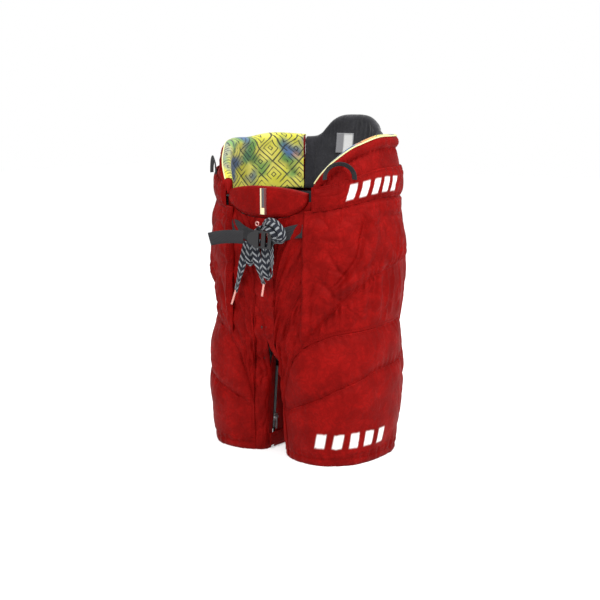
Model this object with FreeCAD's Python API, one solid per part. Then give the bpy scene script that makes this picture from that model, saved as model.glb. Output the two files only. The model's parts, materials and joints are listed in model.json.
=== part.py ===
"""Padded hockey pants for a junior player: trunk, two leg guards, belt, laces, pads, zips and snap tabs.

Millimetres, +Z up, +X towards the wearer's left, -Y towards the front. The left half is modelled and
mirrored. Each leg swings about one line through the hips, so every trunk piece ends inside a surface of
revolution about that line and every leg piece starts outside it.
"""
import FreeCAD, Part
import math
import os

V = FreeCAD.Vector

# ---- overall sizes -------------------------------------------------------------------------------
TOTAL_HEIGHT = 520.0        # hem to the top of the spine pad
HIP_HALF_WIDTH = 158.0      # centre plane to the outer side, over the padded hips
HEM_HALF_WIDTH = HIP_HALF_WIDTH - 16.0
THIGH_HALF_WIDTH = HIP_HALF_WIDTH - 7.0
WAIST_HALF_WIDTH = HIP_HALF_WIDTH - 8.5
HEM_HALF_DEPTH = 94.0
THIGH_FRONT = 104.0         # hip line to the front of the thigh
THIGH_BACK = 106.0
LEG_TOP_FRONT = 100.5       # a leg fits the trunk's rounder section where they meet
LEG_TOP_BACK = 110.0
TRUNK_FRONT = 107.5
SEAT_BACK = 120.0           # the seat stands out most
WAIST_BACK = 113.0
FRAME_SHIFT_Y = 13.3        # hip line to the middle of the overall depth

# ---- levels --------------------------------------------------------------------------------------
THIGH_Z = 110.0
FORK_Z = 200.0
SEAT_Z = 265.0
HIP_Z = 280.0
HIP_AXIS_Z = 310.0          # line that both legs swing about
WAIST_Z = 400.0

# ---- leg section ---------------------------------------------------------------------------------
LEG_CENTRE_X = HIP_HALF_WIDTH - 86.0    # where the front and back of a leg stand out most
INNER_HEM_X = 20.0          # centre plane to the inner thigh, at the hem
INNER_TILT = 4.0            # degrees, inner thighs come together towards the fork
INNER_FLAT_HALF = 75.0      # half of the flat inner face
SQUARENESS = 0.86           # exponent of the rounded section, 1 is an ellipse

# ---- hip joint -----------------------------------------------------------------------------------
CUT_RADIUS_CENTRE = 148.0   # radius of the cut about the hip line, near the fly and fork
CUT_RADIUS_SIDE = 128.0     # and towards the outer sides
CUT_STEP_FROM_X = HIP_HALF_WIDTH - 93.0
CUT_STEP_TO_X = HIP_HALF_WIDTH - 58.0
SWING_GAP = 2.0             # trunk to leg, along the radius

# ---- layers, as depths below the outer face ------------------------------------------------------
SHELL = 1.2                 # outer nylon
LAYER_GAP = 0.8
PLATE = 2.4                 # moulded plastic plates
FOAM = 8.0
LINING = 1.0
FRONT_LAYER = 4.4           # the centre front lies under the hip panels, belt and fly
KIDNEY_OUTER = 0.8
KIDNEY_INNER = 12.6
SEAM = 1.0                  # gap between neighbouring panels

# ---- angular stations round the section, in quarter turns from the outer side --------------------
FRONT_EDGE = -0.75          # front edge of the hip panels
FRONT_TUCK = 0.02           # centre front runs on under the hip panels
SIDE_SEAM = 0.355           # hip panel meets seat panel, thigh panel meets leg back
BAND_END = -0.67
KIDNEY_FRONT = -0.655
SPINE_SEAM = 0.69           # kidney pad meets spine pad
STATION_SEAM = 0.006        # gap between panels that meet at an upright seam

# ---- waist ---------------------------------------------------------------------------------------
BAND_FOOT_Z = 379.0         # lower edge of the waist band at its front ends
BAND_RISE = 21.0            # the edge rises by this to the sides
BAND_HEIGHT = 36.0          # at its front ends
BAND_GROWTH = 8.0           # and this much more at the sides and back
BAND_THICKNESS = 1.5
PAD_FOOT_Z = BAND_FOOT_Z + BAND_RISE    # the pads over the waist start under the band
KIDNEY_RISES = [(-0.655, 24.0), (-0.60, 46.0), (-0.51, 63.0), (-0.31, 84.0), (0.0, 93.0), (0.35, 90.0),
                (0.69, 85.0)]           # station and height over the pad's foot
SPINE_SHOULDER = 36.0       # the spine pad's top falls by this to its sides
SPINE_ROUNDING = 2.4

# ---- pads between the layers: stations, foot and top levels ---------------------------------------
TAILBONE_PAD = (0.82, 1.18, 236.0, 340.0)
HIP_CAP = (-0.32, 0.30, 226.0, 352.0)
HIP_FOAM = (-0.40, 0.345, 208.0, 374.0)
THIGH_GUARD = (-0.95, 0.29, 26.0, 160.0)
THIGH_FOAM = (-1.04, 0.33, 12.0, 172.0)
CUT_MARGIN = 6.0            # no pad comes nearer to the cut between trunk and leg
TAILBONE_EXTRA = 2.0        # thicker than the other foams

# ---- fly, belt and belly pad ---------------------------------------------------------------------
FLY_HALF_WIDTH = 29.0
FLY_FOOT_Z = 215.0
FLY_TOP_Z = 365.0
BELT_WIDTH = 20.0
WEBBING = 1.4
BELT_SIDE_Z = 352.0
BELT_MIDDLE_Z = 338.0
BUCKLE_LENGTH = 39.0
BUCKLE_HEIGHT = BELT_WIDTH + 6.0
BUCKLE_THICKNESS = 4.6
BUCKLE_TURN = 15.0          # degrees, the free end stands out
BUCKLE_PIVOT = V(22.5, -117.0, 337.5)
TAIL_LENGTH = 55.0          # belt beyond the buckle
TAIL_DROOP = 9.0
BELT_PROUD = 2.4            # the belt stands over the fly
BELT_TUCK = 2.0             # and lies this deep under the hip panels
BELT_END = 0.30             # how far each strap reaches from the front centre, in quarter turns
BELLY_TOP_Z = 415.0
BELLY_FOOT_Z = 371.0
BELLY_THICKNESS = 11.0
BELLY_HALF = 0.30           # front centre to its side tips, in quarter turns
BELLY_ROUNDING = 27.0       # its lower edge rises by this to the tips
BELLY_FALL = 6.0            # its upper edge falls by this to the tips

# ---- small parts ---------------------------------------------------------------------------------
LACE_TUBE = 4.4             # same section area as a flat lace 10 by 1.5
AGLET_DIAMETER = 3.4
AGLET_GAP = 1.6
AGLET_ENDS = (V(-57.5, -112.8, 233.0), V(6.0, -117.2, 252.5))
EYELET_RADIUS = 4.0
LOOP_BAND_WIDTH = 11.0      # hanger loop webbing
ZIP_Y = -60.0
ZIP_SLOT = 8.0
ZIP_FOOT = 30.0
ZIP_TOP = 136.0
SLIDER_Z = 50.0
PULL_LENGTH = 18.0
TAB_HEIGHT = 20.0
TAB_Z = 16.0
TAB_THICKNESS = 1.6
TAB_STAND_OFF = 1.6
CAP_RADIUS = 5.0
CAP_HEIGHT = 1.8


# ---- section of the garment ----------------------------------------------------------------------
def profile(stations, z):
    """Value at z on a monotone cubic curve through (z, value) stations, so it never overshoots."""
    if z <= stations[0][0]:
        return stations[0][1]
    if z >= stations[-1][0]:
        return stations[-1][1]
    slopes = []
    for (z0, v0), (z1, v1) in zip(stations, stations[1:]):
        slopes.append((v1 - v0) / (z1 - z0))
    tangents = [slopes[0]]
    for before, after in zip(slopes, slopes[1:]):
        same_way = before * after > 0.0
        tangents.append(2.0 * before * after / (before + after) if same_way else 0.0)
    tangents.append(slopes[-1])
    for k in range(len(slopes)):
        z0, v0 = stations[k]
        z1, v1 = stations[k + 1]
        if z <= z1:
            break
    h = z1 - z0
    t = (z - z0) / h
    rise = t * t * (3.0 - 2.0 * t)
    return (v0 * (1.0 - rise) + v1 * rise
            + h * t * (1.0 - t) * ((1.0 - t) * tangents[k] - t * tangents[k + 1]))


def side_x(z):
    """Centre plane to the outer side."""
    return profile([(0.0, HEM_HALF_WIDTH), (THIGH_Z, THIGH_HALF_WIDTH), (FORK_Z, THIGH_HALF_WIDTH),
                    (HIP_Z, HIP_HALF_WIDTH), (WAIST_Z, WAIST_HALF_WIDTH),
                    (TOTAL_HEIGHT, WAIST_HALF_WIDTH)], z)


def front_depth(z):
    """Hip line to the front of the trunk."""
    return profile([(THIGH_Z, TRUNK_FRONT - 1.0), (HIP_Z, TRUNK_FRONT),
                    (TOTAL_HEIGHT, TRUNK_FRONT + 1.5)], z)


def back_depth(z):
    """Hip line to the back of the trunk."""
    return profile([(THIGH_Z, WAIST_BACK - 6.0), (SEAT_Z, SEAT_BACK), (WAIST_Z, WAIST_BACK),
                    (TOTAL_HEIGHT, WAIST_BACK + 2.0)], z)


def leg_front_depth(z):
    return profile([(0.0, HEM_HALF_DEPTH), (THIGH_Z, THIGH_FRONT), (FORK_Z, LEG_TOP_FRONT),
                    (SEAT_Z, LEG_TOP_FRONT)], z)


def leg_back_depth(z):
    return profile([(0.0, HEM_HALF_DEPTH), (THIGH_Z, THIGH_BACK), (SEAT_Z, LEG_TOP_BACK)], z)


def inner_x(z):
    """Centre plane to the flat inner thigh, which leans inwards as it rises."""
    return INNER_HEM_X - z * math.tan(math.radians(INNER_TILT))


def squared(value):
    """Superellipse term: the power of the size, with the sign kept."""
    return math.copysign(abs(value) ** SQUARENESS, value)


def trunk_section(a, z):
    """Point on the trunk's outline, a quarter turns from the left side, -1 at the front centre."""
    angle = a * math.pi / 2.0
    across = squared(math.cos(angle))
    along = squared(math.sin(angle))
    depth = front_depth(z) if along < 0.0 else back_depth(z)
    return side_x(z) * across, depth * along


def leg_section(a, z):
    """Point on the left leg's outline. The outer half is as the trunk's, then come a rounded inner
    corner (1 to 1.5) and the flat inner face (1.5 to 2)."""
    if a > 2.0:
        a = a - 4.0
    way = 1.0 if a > 0.0 else -1.0
    depth = leg_front_depth(z) if a < 0.0 else leg_back_depth(z)
    turn = abs(a)
    if turn <= 1.0:
        angle = turn * math.pi / 2.0
        x = LEG_CENTRE_X + (side_x(z) - LEG_CENTRE_X) * squared(math.cos(angle))
        return x, way * depth * squared(math.sin(angle))
    if turn <= 1.5:
        angle = (turn - 1.0) * math.pi
        x = LEG_CENTRE_X - (LEG_CENTRE_X - inner_x(z)) * math.sin(angle)
        return x, way * (depth - (depth - INNER_FLAT_HALF) * (1.0 - math.cos(angle)))
    return inner_x(z), way * INNER_FLAT_HALF * (2.0 - turn) / 0.5


def flat_station(y):
    """Angular station of a point on the flat inner face, front half."""
    return -(2.0 - 0.5 * abs(y) / INNER_FLAT_HALF)


def inset(section, a, z, depth):
    """Point at a depth below the outline, moved level so that hems stay flat."""
    step = 0.004
    x, y = section(a, z)
    x0, y0 = section(a - step, z)
    x1, y1 = section(a + step, z)
    length = math.hypot(x1 - x0, y1 - y0)
    return V(x - depth * (y1 - y0) / length, y + depth * (x1 - x0) / length, z)


def cut_radius(x):
    """Radius of the trunk-to-leg cut about the hip line, a smooth step from the centre to the sides."""
    t = (abs(x) - CUT_STEP_FROM_X) / (CUT_STEP_TO_X - CUT_STEP_FROM_X)
    t = min(max(t, 0.0), 1.0)
    t = t * t * (3.0 - 2.0 * t)
    return CUT_RADIUS_CENTRE + (CUT_RADIUS_SIDE - CUT_RADIUS_CENTRE) * t


def cut_edge(section, gap):
    """Height of the cut as a function of station and depth, found by a few fixed-point steps."""
    def edge(a, depth):
        z = FORK_Z
        for _ in range(8):
            p = inset(section, a, z, depth)
            radius = cut_radius(p.x) + gap
            z = HIP_AXIS_Z - math.sqrt(max(radius * radius - p.y * p.y, 0.0))
        return z
    return edge


trunk_foot = cut_edge(trunk_section, 0.0)
leg_top = cut_edge(leg_section, SWING_GAP)


# ---- solids from the section ---------------------------------------------------------------------
LEVEL_LIMIT = 0.0001        # a rim less high than this is level


def spline_face(grid):
    surface = Part.BSplineSurface()
    surface.interpolate(grid)
    return surface


def rim(first, second):
    """Ruled edge of a panel, as a plane when it is level."""
    face = first.makeRuledSurface(second).toShape()
    if face.BoundBox.ZLength > LEVEL_LIMIT:
        return face
    one = first.toShape()
    two = second.toShape()
    joins = []
    for near, far in zip((one.firstVertex(), one.lastVertex()), (two.firstVertex(), two.lastVertex())):
        joins.append(Part.LineSegment(near.Point, far.Point).toShape())
    return Part.Face(Part.Wire(Part.__sortEdges__([one, two] + joins)))


def closed_between(outer, inner):
    """Solid between two grids of points: two smooth faces and four ruled edges."""
    a = spline_face(outer)
    b = spline_face(inner)
    u0, u1, v0, v1 = a.bounds()
    p0, p1, q0, q1 = b.bounds()
    pairs = [(a.uIso(u0), b.uIso(p0)), (a.uIso(u1), b.uIso(p1)),
             (a.vIso(v0), b.vIso(q0)), (a.vIso(v1), b.vIso(q1))]
    faces = [a.toShape(), b.toShape()]
    for first, second in pairs:
        faces.append(rim(first, second))
    shell = Part.makeShell(faces)
    shell.sewShape()
    solid = Part.makeSolid(shell)
    if solid.Volume < 0.0:
        solid.reverse()
    return solid


def value_at(limit, a, depth):
    return limit(a, depth) if callable(limit) else limit


def panel(section, stations, foot, top, depths, columns=15, rows=9):
    """Curved panel between two stations, two heights and two depths. Heights and depths may be
    functions, of (station, depth) and of station."""
    grids = []
    for layer in depths:
        grid = []
        for i in range(columns):
            a = stations[0] + (stations[1] - stations[0]) * i / (columns - 1.0)
            depth = layer(a) if callable(layer) else layer
            z0 = value_at(foot, a, depth)
            z1 = value_at(top, a, depth)
            line = []
            for j in range(rows):
                z = z0 + (z1 - z0) * j / (rows - 1.0)
                line.append(inset(section, a, z, depth))
            grid.append(line)
        grids.append(grid)
    return closed_between(grids[0], grids[1])


def mirrored(shape):
    return shape.mirror(V(0, 0, 0), V(1, 0, 0))


def smooth_step(t):
    t = min(max(t, 0.0), 1.0)
    return t * t * (3.0 - 2.0 * t)


# ---- trunk cloth ---------------------------------------------------------------------------------
def band_foot(a, depth=0.0):
    """Lower edge of the waist band, lower at the front."""
    return BAND_FOOT_Z + BAND_RISE * smooth_step((back_station(a) + 0.8) / 0.8)


def band_top(a, depth=0.0):
    return band_foot(a) + BAND_HEIGHT + BAND_GROWTH * smooth_step((back_station(a) + 0.7) / 0.7)


def back_station(a):
    """Station on the left half that has the same height as any station round the trunk."""
    return a if a <= 1.0 else 2.0 - a


def hip_panel():
    def top(a, depth):
        return band_foot(a) - SEAM
    return panel(trunk_section, (FRONT_EDGE, SIDE_SEAM), trunk_foot, top, (0.0, SHELL), 21, 13)


def seat_panel():
    def top(a, depth):
        return band_foot(a) - SEAM
    stations = (SIDE_SEAM + STATION_SEAM, 1.0 - STATION_SEAM / 2.0)
    return panel(trunk_section, stations, trunk_foot, top, (0.0, SHELL), 15, 13)


def front_panel():
    half = 1.0 + FRONT_EDGE + FRONT_TUCK
    return panel(trunk_section, (-1.0 - half, -1.0 + half), trunk_foot, FLY_TOP_Z,
                 (FRONT_LAYER, FRONT_LAYER + SHELL), 17, 11)


def fly_flap():
    """Placket over the fly, round at its foot."""
    half = 1.0 - 2.0 / math.pi * math.acos((FLY_HALF_WIDTH / side_x(FLY_TOP_Z)) ** (1.0 / SQUARENESS))

    def foot(a, depth):
        t = (a + 1.0) / half
        return FLY_FOOT_Z + FLY_HALF_WIDTH * 0.8 * (1.0 - math.sqrt(max(1.0 - t * t * 0.98, 0.0)))
    outer = FRONT_LAYER - LAYER_GAP - SHELL
    return panel(trunk_section, (-1.0 - half, -1.0 + half), foot, FLY_TOP_Z, (outer, outer + SHELL), 17, 9)


def waist_band():
    """One band from the left front, round the back, to the right front."""
    return panel(trunk_section, (BAND_END, 2.0 - BAND_END), band_foot, band_top,
                 (-BAND_THICKNESS, 0.0), 45, 5)


def kidney_top(a, depth=0.0):
    return PAD_FOOT_Z + profile(KIDNEY_RISES, a)


def kidney_pad():
    return panel(trunk_section, (KIDNEY_FRONT, SPINE_SEAM), PAD_FOOT_Z, kidney_top,
                 (KIDNEY_OUTER, KIDNEY_INNER), 25, 7)


def kidney_lining():
    """Printed cloth on the pad's inner face, a little short of its rim."""
    start = KIDNEY_INNER + LAYER_GAP / 2.0

    def top(a, depth):
        return kidney_top(a) - 2.0
    return panel(trunk_section, (KIDNEY_FRONT + 0.01, SPINE_SEAM - 0.005), PAD_FOOT_Z, top,
                 (start, start + LINING), 25, 7)


def spine_top(a, depth=0.0):
    """Rounded top of the spine pad, highest at the back centre."""
    t = (a - 1.0) / (1.0 - SPINE_SEAM)
    return TOTAL_HEIGHT - SPINE_SHOULDER * math.sin(abs(t) * math.pi / 2.0) ** SPINE_ROUNDING


def spine_pad():
    edge = SPINE_SEAM + 0.012
    return panel(trunk_section, (edge, 2.0 - edge), PAD_FOOT_Z, spine_top,
                 (KIDNEY_OUTER, KIDNEY_INNER + 1.4), 17, 9)


def inner_pad(section, place, start, thickness):
    """Pad between two layers, kept clear of the cut between trunk and leg."""
    first, last, foot_z, top_z = place

    def foot(a, depth):
        return max(foot_z, trunk_foot(a, depth) + CUT_MARGIN) if section is trunk_section else foot_z

    def top(a, depth):
        return min(top_z, leg_top(a, depth) - CUT_MARGIN) if section is leg_section else top_z
    return panel(section, (first, last), foot, top, (start, start + thickness), 19, 9)


def tailbone_pad():
    return inner_pad(trunk_section, TAILBONE_PAD, SHELL + LAYER_GAP, FOAM + TAILBONE_EXTRA)


def hip_cap():
    return inner_pad(trunk_section, HIP_CAP, SHELL + LAYER_GAP, PLATE)


def hip_foam():
    return inner_pad(trunk_section, HIP_FOAM, SHELL + 2.0 * LAYER_GAP + PLATE, FOAM)


def trunk_lining_depth(a):
    """The lining lies behind the foam at the sides and back, and close to the cloth at the front."""
    deep = SHELL + 3.0 * LAYER_GAP + PLATE + FOAM
    shallow = FRONT_LAYER + SHELL + 2.0 * LAYER_GAP
    return shallow + (deep - shallow) * smooth_step((back_station(a) + 0.80) / 0.34)


LINING_END = -0.97          # the lining is open at the fly
LINING_DROP = 6.0           # its top ends below the pads over the waist
LINING_FRONT_DROP = 34.0    # and lower still behind the belly pad


def trunk_lining():
    def inner(a):
        return trunk_lining_depth(a) + LINING

    def top(a, depth):
        return PAD_FOOT_Z - LINING_DROP - LINING_FRONT_DROP * smooth_step((-0.62 - back_station(a)) / 0.3)
    return panel(trunk_section, (LINING_END, 2.0 - LINING_END), trunk_foot, top,
                 (trunk_lining_depth, inner), 61, 11)


GUSSET_THICKNESS = 3.0
GUSSET_HALF_WIDTH = 27.0
GUSSET_END_Y = 96.4         # hip line to its front and back ends


def crotch_gusset():
    """Saddle between the legs, an arc about the hip line."""
    outer = CUT_RADIUS_CENTRE - 1.0
    start = V(-GUSSET_HALF_WIDTH, 0, HIP_AXIS_Z)
    width = 2.0 * GUSSET_HALF_WIDTH
    ring = Part.makeCylinder(outer, width, start, V(1, 0, 0))
    bore = Part.makeCylinder(outer - GUSSET_THICKNESS, width, start, V(1, 0, 0))
    wedge_y = 2.0 * outer * math.tan(math.asin(GUSSET_END_Y / outer))
    corners = [start, start + V(0, -wedge_y, -2.0 * outer), start + V(0, wedge_y, -2.0 * outer), start]
    wedge = Part.Face(Part.makePolygon(corners)).extrude(V(width, 0, 0))
    return ring.cut(bore).common(wedge)


def belly_pad():
    """Shield over the belly, flat on top and rounded below."""
    half = BELLY_HALF

    def foot(a, depth):
        t = (a + 1.0) / half
        return BELLY_FOOT_Z + BELLY_ROUNDING * (1.0 - math.sqrt(max(1.0 - t * t * 0.96, 0.0)))

    def top(a, depth):
        t = abs(a + 1.0) / half
        return BELLY_TOP_Z - BELLY_FALL * t * t
    return panel(trunk_section, (-1.0 - half, -1.0 + half), foot, top, (0.0, BELLY_THICKNESS), 19, 7)


# ---- belt, buckle and tail -----------------------------------------------------------------------
def belt_depth(a):
    """The belt runs over the fly, then under the edge of the hip panels."""
    return -BELT_PROUD + (BELT_PROUD + BELT_TUCK) * smooth_step((abs(a + 1.0) - 0.10) / 0.10)


def belt_inner_depth(a):
    return belt_depth(a) + WEBBING


def belt_middle(a):
    return BELT_MIDDLE_Z + (BELT_SIDE_Z - BELT_MIDDLE_Z) * smooth_step(abs(a + 1.0) / 0.24)


def belt_foot(a, depth):
    return belt_middle(a) - BELT_WIDTH / 2.0


def belt_top(a, depth):
    return belt_middle(a) + BELT_WIDTH / 2.0


def belt_strap(start, end):
    return panel(trunk_section, (start, end), belt_foot, belt_top, (belt_depth, belt_inner_depth), 13, 3)


def rounded_plate(x0, x1, z0, z1, y0, y1, radius):
    """Upright plate with rounded corners, its faces square to Y."""
    plate = Part.makeBox(x1 - x0, y1 - y0, z1 - z0, V(x0, y0, z0))
    upright = []
    for edge in plate.Edges:
        a = edge.Vertexes[0].Point
        b = edge.Vertexes[1].Point
        if abs(a.x - b.x) < 0.001 and abs(a.z - b.z) < 0.001:
            upright.append(edge)
    return plate.makeFillet(radius, upright)


def at_buckle(shape):
    """Place a shape made round the buckle's bar: turned in its plane, then its free end out."""
    shape = shape.copy()
    shape.rotate(V(0, 0, 0), V(0, 1, 0), 4.0)
    shape.rotate(V(0, 0, 0), V(0, 0, 1), BUCKLE_TURN)
    shape.translate(BUCKLE_PIVOT)
    return shape


SLOT_WIDTH = 4.6            # webbing slots of the buckle
SLOT_HEIGHT = BELT_WIDTH + 1.0
SLOT_MIDDLES = (-4.6, -15.4)
FRAME_LENGTH = 26.0         # slotted part of the buckle
FRAME_REACH = 3.0           # frame beyond the pivot
FRAME_CORNER = 2.6
THUMB_HALF = 3.5            # half height of the thumb tab's tip
THUMB_STEP = 1.2            # the tab is thinner than the frame


def belt_buckle():
    """Ladder-lock buckle: frame with two slots, a middle bar and a pointed thumb tab."""
    half = BUCKLE_HEIGHT / 2.0
    front = -BUCKLE_THICKNESS
    frame = rounded_plate(-FRAME_LENGTH, FRAME_REACH, -half, half, front, 0.0, FRAME_CORNER)
    tip = FRAME_REACH - BUCKLE_LENGTH
    root = 4.0 - FRAME_LENGTH
    outline = [V(root, front, -half + 0.6), V(tip + 5.0, front, -half + 4.5), V(tip, front, -THUMB_HALF),
               V(tip, front, THUMB_HALF), V(tip + 5.0, front, half - 4.5), V(root, front, half - 0.6),
               V(root, front, -half + 0.6)]
    tab = Part.Face(Part.makePolygon(outline)).extrude(V(0, BUCKLE_THICKNESS - THUMB_STEP, 0))
    body = frame.fuse(tab).removeSplitter()
    for middle in SLOT_MIDDLES:
        slot = rounded_plate(middle - SLOT_WIDTH / 2.0, middle + SLOT_WIDTH / 2.0, -SLOT_HEIGHT / 2.0,
                             SLOT_HEIGHT / 2.0, front - 1.0, 1.0, 1.2)
        body = body.cut(slot)
    return at_buckle(body)


def belt_tail():
    """Free end of the belt, standing out beyond the buckle with a slight droop."""
    near = []
    far = []
    start = -BUCKLE_LENGTH - 3.6
    count = 7
    for i in range(count):
        t = i / (count - 1.0)
        middle = V(start - TAIL_LENGTH * t, -1.9 - 1.2 * t * t, -TAIL_DROOP * t * t)
        for line, y in ((near, 0.0), (far, -WEBBING)):
            row = []
            for across in (-0.5, 0.0, 0.5):
                row.append(middle + V(0, y, across * BELT_WIDTH))
            line.append(row)
    return at_buckle(closed_between(near, far))


# ---- laces ---------------------------------------------------------------------------------------
LACE_END_RIGHT = [V(-27.0, -112.6, 332.0), V(-29.0, -113.6, 315.0), V(-34.5, -115.0, 296.0),
                 V(-40.0, -115.2, 276.0), V(-48.0, -114.0, 255.0)]
LACE_LOOP_RIGHT = [V(-21.0, -112.6, 332.0), V(-21.6, -113.6, 317.0), V(-21.0, -114.4, 306.0),
                  V(-18.2, -114.6, 299.6), V(-12.2, -114.6, 299.2), V(-9.4, -114.6, 305.6),
                  V(-9.0, -113.6, 317.0), V(-9.8, -112.6, 332.0)]
LACE_END_LEFT = [V(-7.0, -117.8, 332.0), V(-4.0, -118.6, 316.0), V(1.4, -119.2, 300.0),
                 V(5.0, -119.0, 285.0), V(10.4, -118.0, 271.0)]
LACE_LOOP_LEFT = [V(7.0, -112.6, 332.0), V(7.8, -113.6, 316.0), V(11.0, -114.4, 301.5),
                   V(12.4, -114.8, 290.0), V(14.2, -114.8, 283.6), V(19.0, -114.8, 280.2),
                   V(23.6, -114.8, 283.8), V(24.0, -114.8, 290.4), V(22.2, -114.4, 301.0),
                   V(19.2, -113.6, 316.0), V(18.4, -112.6, 332.0)]


def lace_tube(points, name):
    """Round tube along straight runs joined by tangent arcs, each arc as large as its runs allow."""
    edges = []
    start = points[0]
    radii = []
    for before, corner, after in zip(points, points[1:], points[2:]):
        into = (corner - before).normalize()
        out = (after - corner).normalize()
        half_turn = into.getAngle(out) / 2.0
        cut = 0.45 * min((corner - before).Length, (after - corner).Length)
        radius = cut / math.tan(half_turn)
        radii.append(round(radius, 1))
        first = corner - into * cut
        last = corner + out * cut
        bisector = (out - into).normalize()
        middle = corner + bisector * (radius / math.cos(half_turn) - radius)
        edges.append(Part.LineSegment(start, first).toShape())
        edges.append(Part.Arc(first, middle, last).toShape())
        start = last
    edges.append(Part.LineSegment(start, points[-1]).toShape())
    path = Part.Wire(edges)
    ring = Part.Wire(Part.Circle(points[0], points[1] - points[0], LACE_TUBE / 2.0).toShape())
    tube = path.makePipeShell([ring], True, False)
    expected = math.pi * LACE_TUBE ** 2 / 4.0 * path.Length
    print(name, "length", round(path.Length, 1), "radii", radii)
    print(name, "volume ratio", round(tube.Volume / expected, 4))
    return tube


def aglet(points, end):
    """Crimped tip at the end of a lace, from its last point to the given one."""
    way = (end - points[-1]).normalize()
    start = points[-1] + way * AGLET_GAP
    return Part.makeCylinder(AGLET_DIAMETER / 2.0, (end - start).Length, start, way)


def lace_aglets():
    right, left = AGLET_ENDS
    return Part.makeCompound([aglet(LACE_END_RIGHT, right), aglet(LACE_END_LEFT, left)])


KNOT_FRONT = -120.5
KNOT_THICKNESS = 9.0
KNOT_FOOT_Z = BELT_MIDDLE_Z + BUCKLE_HEIGHT / 2.0 - 16.0
KNOT_OUTLINE = [(1, 21.5), (6, 29), (23, 32), (39, 23), (47, 11), (42, 2), (31.5, 0), (30.5, 13),
                (25.5, 20.5), (1, 21.5)]


def lace_knot():
    """Bow standing over the belt, beside and above the buckle."""
    outline = []
    for x, z in KNOT_OUTLINE:
        outline.append(V(x, KNOT_FRONT, KNOT_FOOT_Z + z))
    lump = Part.Face(Part.makePolygon(outline)).extrude(V(0, KNOT_THICKNESS, 0))
    return lump.makeFillet(1.6, lump.Edges)


EYELET_X = 11.0
EYELET_LEVELS = (343.0, 359.0)
EYELET_ROLL = 0.9           # radius of the rolled ring


def fly_eyelets():
    """Four lace eyelets on the placket."""
    rings = []
    placket = FRONT_LAYER - LAYER_GAP - SHELL
    for x in (-EYELET_X, EYELET_X):
        for z in EYELET_LEVELS:
            middle = V(x, placket - front_depth(z) - EYELET_ROLL - 0.1, z)
            rings.append(Part.makeTorus(EYELET_RADIUS - EYELET_ROLL - 0.2, EYELET_ROLL, middle, V(0, 1, 0)))
    return Part.makeCompound(rings)


# ---- hanger loops --------------------------------------------------------------------------------
LOOP_STATION = -0.46
LOOP_FOOT_Z = 431.0
LOOP_RISE = 22.0
LOOP_HALF_SPAN = 23.0
LOOP_STAND_OFF = 2.0


def hanger_loop():
    """Arch of webbing outside the kidney pad, its width square to the wall."""
    outer = []
    inner = []
    count = 13
    for i in range(count):
        angle = math.pi * i / (count - 1.0)
        sideways = -math.cos(angle)
        rise = math.sin(angle)
        for line, grow in ((outer, 0.0), (inner, -WEBBING)):
            s = sideways * (LOOP_HALF_SPAN + grow)
            z = (LOOP_RISE + grow) * rise
            row = []
            for across in (0.0, 0.5, 1.0):
                row.append(V(s, -LOOP_STAND_OFF - across * LOOP_BAND_WIDTH, z))
            line.append(row)
    arch = closed_between(outer, inner)
    base = inset(trunk_section, LOOP_STATION, LOOP_FOOT_Z, 0.0)
    out = inset(trunk_section, LOOP_STATION, LOOP_FOOT_Z, -1.0) - base
    arch.rotate(V(0, 0, 0), V(0, 0, 1), math.degrees(math.atan2(out.y, out.x)) + 90.0)
    arch.translate(base)
    return arch


# ---- legs ----------------------------------------------------------------------------------------
ZIP_FRONT = flat_station(ZIP_Y - ZIP_SLOT / 2.0)
ZIP_BACK = 4.0 + flat_station(ZIP_Y + ZIP_SLOT / 2.0)
INNER_BACK = 1.56           # leg back meets inner thigh


THIGH_SEAM_Z = 145.0        # level of the seam at the outer side
THIGH_SEAM_FRONT = 62.0     # its fall in a quarter turn to the front
THIGH_SEAM_BACK = 10.0


def thigh_seam(a, depth=0.0):
    """Seam between the two thigh panels, rising towards the outer side."""
    return THIGH_SEAM_Z + THIGH_SEAM_FRONT * min(a, 0.0) + THIGH_SEAM_BACK * max(a, 0.0)


def thigh_lower_panel():
    def top(a, depth):
        return thigh_seam(a) - SEAM / 2.0
    return panel(leg_section, (ZIP_FRONT, SIDE_SEAM), 0.0, top, (0.0, SHELL), 61, 7)


def thigh_upper_panel():
    def foot(a, depth):
        return thigh_seam(a) + SEAM / 2.0
    return panel(leg_section, (ZIP_FRONT, SIDE_SEAM), foot, leg_top, (0.0, SHELL), 61, 7)


def leg_back_panel():
    stations = (SIDE_SEAM + STATION_SEAM, INNER_BACK - STATION_SEAM)
    return panel(leg_section, stations, 0.0, leg_top, (0.0, SHELL), 21, 11)


def inner_thigh_panel():
    return panel(leg_section, (INNER_BACK, ZIP_BACK), 0.0, leg_top, (0.0, SHELL), 13, 11)


def thigh_guard():
    return inner_pad(leg_section, THIGH_GUARD, SHELL + LAYER_GAP, PLATE)


def thigh_foam():
    return inner_pad(leg_section, THIGH_FOAM, SHELL + 2.0 * LAYER_GAP + PLATE, FOAM)


def leg_lining_depth(a):
    """Deep behind the thigh pad, close to the cloth on the back and the inner thigh."""
    deep = SHELL + 3.0 * LAYER_GAP + PLATE + FOAM
    shallow = SHELL + 3.0 * LAYER_GAP
    pad = smooth_step((a + 1.42) / 0.30) * (1.0 - smooth_step((a - 0.40) / 0.30))
    return shallow + (deep - shallow) * pad


LEG_LINING_FOOT = 3.0


def leg_lining():
    def inner(a):
        return leg_lining_depth(a) + LINING
    return panel(leg_section, (ZIP_FRONT, ZIP_BACK), LEG_LINING_FOOT, leg_top,
                 (leg_lining_depth, inner), 65, 9)


def on_inner_face(shape):
    """Place a shape made on an upright face at the tilt of the inner thigh: X is depth, Z along."""
    shape = shape.copy()
    shape.rotate(V(0, 0, 0), V(0, 1, 0), -INNER_TILT)
    shape.translate(V(INNER_HEM_X, 0, 0))
    return shape


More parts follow.
